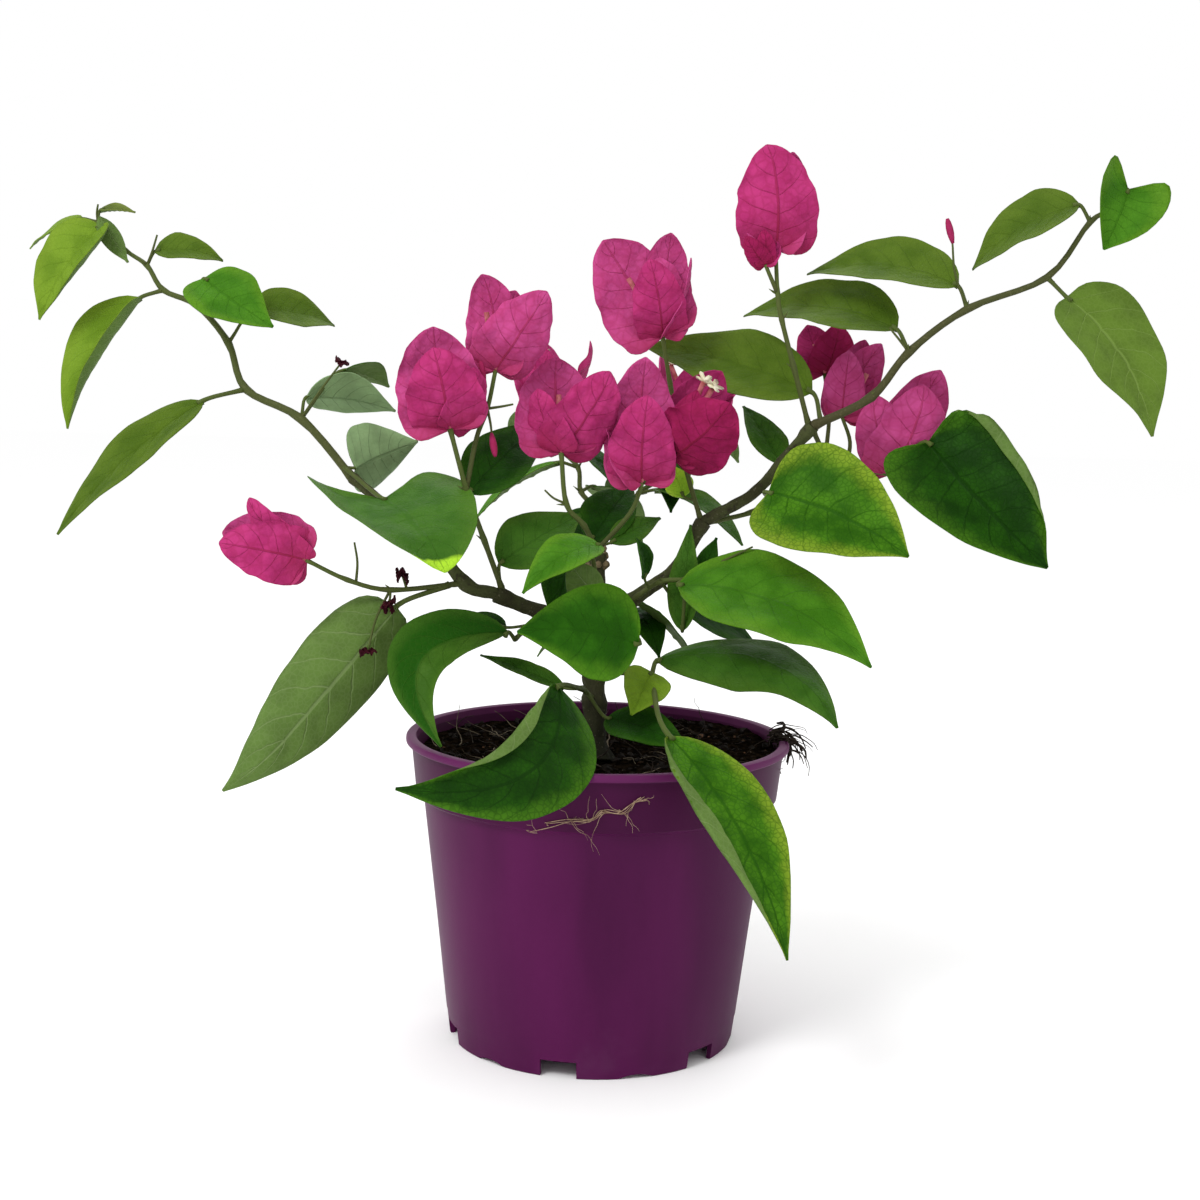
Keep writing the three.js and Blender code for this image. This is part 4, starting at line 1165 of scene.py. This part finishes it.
def make_masses(places, leaf_finishes, bract_finishes, flower_finishes, shoot_finish):
    """The leaves, bracts and flowers of each mass, and all the shoots as one piece."""
    shoots = Bundle()
    for number, (name, mass) in enumerate(MASSES.items()):
        draw = seeded(SEEDS["masses"] + number)
        grown = grow_wild(mass) if "seed" in mass else mass
        root, start = start_of(places, mass["at"], grown["stem"])
        thick, thin = mass.get("radii", [1.3, 0.8])
        joints = route_points(start, grown["stem"])
        young = mass.get("young", (0.35, 0.85))
        path = smooth_path([root, *joints], 5)
        steps = len(joints)

        def radius_at(s):
            node = abs((s * steps + 0.5) % 1 - 0.5)
            return (thick + (thin - thick) * s) * (1 + 0.25 * exp(-(node / 0.09) ** 2))

        add_tube(shoots, path, radius_at, 9, ages=young)
        add_buds(shoots, joints, draw)
        for joint, route in grown.get("forks", []):
            fork = route_points(joints[joint], route)
            add_tube(shoots, smooth_path(fork, 5), lambda s: thin * (1.1 - 0.2 * s), 8, ages=(young[0], 0.9))
            joints += fork[1:]
        leaves, bracts, flowers = (Bundle() for _ in range(3))
        for row in mass.get("twigs", []):
            add_twig(shoots, bracts, joints, row, draw)
        for row in grown.get("leaves", []):
            add_leaf(leaves, shoots, joints, row, draw)
        for row in grown.get("heads", []):
            add_head(bracts, flowers, joints[row[0]], row, draw)
        for kind, made, finishes, slot, nodes in (
            ("leaves", leaves, leaf_finishes, "leaves", [name]), ("bracts", bracts, bract_finishes, "bracts", [name]),
            ("flowers", flowers, flower_finishes, "bracts", []),
        ):
            if made.count:
                dress(made.piece(name.rsplit("_", 1)[0] + "_" + kind, finishes), None, slot, *nodes)
    dress(shoots.piece("shoots", [shoot_finish]), None, "wood", *MASSES)


# Small things on the soil and the pot

def make_crumbs():
    """Crumbs and wood chips on the soil, each a squashed eight-sided lump."""
    draw = seeded(SEEDS["crumbs"])
    crumbs = Bundle()
    corners = [(1, 0, 0), (0, 1, 0), (-1, 0, 0), (0, -1, 0), (0, 0, 1), (0, 0, -1)]
    sides = [(k, (k + 1) % 4) for k in range(4)]
    faces = [(here, there, 4, here) for here, there in sides] + [(there, here, 5, there) for here, there in sides]
    for _ in range(CRUMBS):
        middle = soil_place(draw, 0.97, 0)
        size = 0.5 + 1.5 * draw() ** 3
        middle.z += 0.2 * size
        turn = Matrix.Rotation(WHOLE_TURN * draw(), 3, "Z") @ Matrix.Rotation(0.9 * draw(), 3, "X")
        stretch = Vector((0.8 + 1.4 * draw(), 0.7 + 0.5 * draw(), 0.5 + 0.4 * draw()))
        shape = [middle + turn @ Vector([c * k * size for c, k in zip(corner, stretch)]) for corner in corners]
        crumbs.add(shape, faces, 0 if draw() < 0.93 else 1)
    finishes = [
        plain_finish("crumb_dark", (0.014, 0.01, 0.008), (0.004, 0.003, 0.002), 0.95),
        plain_finish("crumb_brown", (0.1, 0.05, 0.025), (0.04, 0.022, 0.014), 0.9),
    ]
    dress(crumbs.piece("soil_crumbs", finishes, smooth=False), None, "soil")


def add_fibre(bundle, foot, bearing, climb, length, droop, radius, draw, finish=0, wander=70):
    """A hair-like root or coir thread that wanders as it goes."""
    points = [Vector(foot)]
    for _ in range(6):
        bearing += wander * (draw() - 0.5)
        climb += droop + 0.6 * wander * (draw() - 0.5)
        points.append(points[-1] + heading(bearing, climb) * length / 6)
    add_tube(bundle, smooth_path(points, 2), lambda s: radius * (1.1 - 0.7 * s), 4, finish)


def make_fibres():
    """Coir and dead roots in the soil, and the clump that hangs over the rim at the right."""
    draw = seeded(SEEDS["fibres"])
    fibres = Bundle()
    for _ in range(SOIL_FIBRES):
        foot = soil_place(draw, 0.88, -0.3)
        add_fibre(fibres, foot, 360 * draw(), 12 * draw(), 9 + 14 * draw(), 0, 0.22 + 0.16 * draw(), draw,
                  0 if draw() < 0.7 else 1)
    for _ in range(CLUMP_FIBRES):
        x, y = CLUMP_PLACE
        foot = (x + 5 * (draw() - 0.5), y + 14 * (draw() - 0.5), POT_HEIGHT - 2 + 4 * draw())
        add_fibre(fibres, foot, -15 + 110 * (draw() - 0.5), 30 + 50 * (draw() - 0.5), 9 + 13 * draw(), -16,
                  0.25 + 0.75 * draw() ** 3, draw)
    finishes = [
        plain_finish("dead_root", (0.03, 0.022, 0.016), (0.012, 0.008, 0.006), 0.9),
        plain_finish("coir", (0.16, 0.13, 0.09), (0.06, 0.045, 0.03), 0.9),
    ]
    dress(fibres.piece("soil_fibres", finishes), None, "soil")


def make_string():
    """A frayed coir thread that clings to the collar of the pot."""
    draw = seeded(SEEDS["string"])
    thread = Bundle()

    def on_collar(x, z):
        radius = COLLAR_FOOT_RADIUS + (COLLAR_TOP_RADIUS - COLLAR_FOOT_RADIUS) * (z - 98) / 19 + 0.5
        return Vector((x, -sqrt(radius ** 2 - x ** 2), z))

    for _ in range(STRANDS):
        strand = [on_collar(x + 3 * (draw() - 0.5), z + 2 * (draw() - 0.5)) for x, z in STRING]
        first = int(3 * draw())
        add_tube(thread, smooth_path(strand[first:], 5), lambda s: 0.13, 5)
    for _ in range(FRAYS):
        x, z = STRING[int(len(STRING) * draw())]
        foot = on_collar(x, z) - Vector((0, 0.4, 0))
        add_fibre(thread, foot, (0, 180)[draw() < 0.6] + 30 * (draw() - 0.5), 70 * (draw() - 0.5), 5 + 12 * draw(), 0,
                  0.1, draw, 0, 110)
    dress(thread.piece("coir_thread", [plain_finish("pale_coir", (0.42, 0.3, 0.2), (0.22, 0.14, 0.09), 0.9)]),
          None, "soil")


def light_area(name, place, aim, size, power):
    data = bpy.data.lights.new(name, "AREA")
    data.shape = "DISK"
    data.size = size
    data.energy = power
    lamp = bpy.data.objects.new(name, data)
    lamp.location = place
    lamp.rotation_euler = (Vector(aim) - Vector(place)).to_track_quat("-Z", "Y").to_euler()
    bpy.context.scene.collection.objects.link(lamp)


def make_stage():
    """A pale floor, soft light from the front left and above, and the camera."""
    scene = bpy.context.scene
    scene.view_settings.view_transform = "Standard"
    world = bpy.data.worlds.new("pale_room")
    world.use_nodes = True
    colour, strength = world.node_tree.nodes["Background"].inputs[:2]
    colour.default_value, strength.default_value = (1, 1, 1, 1), 1
    scene.world = world
    deselect()
    bpy.ops.mesh.primitive_plane_add(size=12)
    floor = bpy.context.object
    floor.name = "floor"
    floor.data.materials.append(Finish("pale_floor", (0.99, 0.99, 0.99), 1, 0).material)
    light_area("key", (-0.75, -0.95, 1.3), (0, 0, 0.18), 0.6, 13)
    light_area("back", (0.3, 1.2, 1.4), (0, 0, 0.2), 1.0, 4)
    data = bpy.data.cameras.new("camera")
    data.lens = LENS
    data.sensor_width = 36
    camera = bpy.data.objects.new("camera", data)
    camera.matrix_world = (
        Matrix.Translation(Vector(CAMERA_PLACE) * MM)
        @ Matrix.Rotation(radians(90 - CAMERA_PITCH), 4, "X")
        @ Matrix.Rotation(radians(CAMERA_ROLL), 4, "Z"))
    scene.collection.objects.link(camera)
    scene.camera = camera


def make_finishes():
    """The finishes of leaves, bracts, flowers and shoots."""
    leaf_finishes = [
        (leaf_finish if len(colours) > 2 else under_finish)("leaf_" + tone, *colours)
        for tone, colours in LEAF_TONES.items()]
    bract_finishes = [bract_finish("bract_" + tone, *colours) for tone, colours in BRACT_TONES.items()]
    flower_finishes = [
        plain_finish("flower_tube", (0.45, 0.13, 0.15), (0.3, 0.07, 0.07), 0.6),
        plain_finish("flower_star", (0.8, 0.76, 0.6), (0.7, 0.64, 0.42), 0.6),
    ]
    return leaf_finishes, bract_finishes, flower_finishes, stem_finish()


make_stage()
make_pot()
make_soil()
make_crumbs()
make_fibres()
make_string()
limb_places = make_limbs()
make_knob(limb_places["trunk"])
make_masses(limb_places, *make_finishes())
bpy.context.view_layer.update()
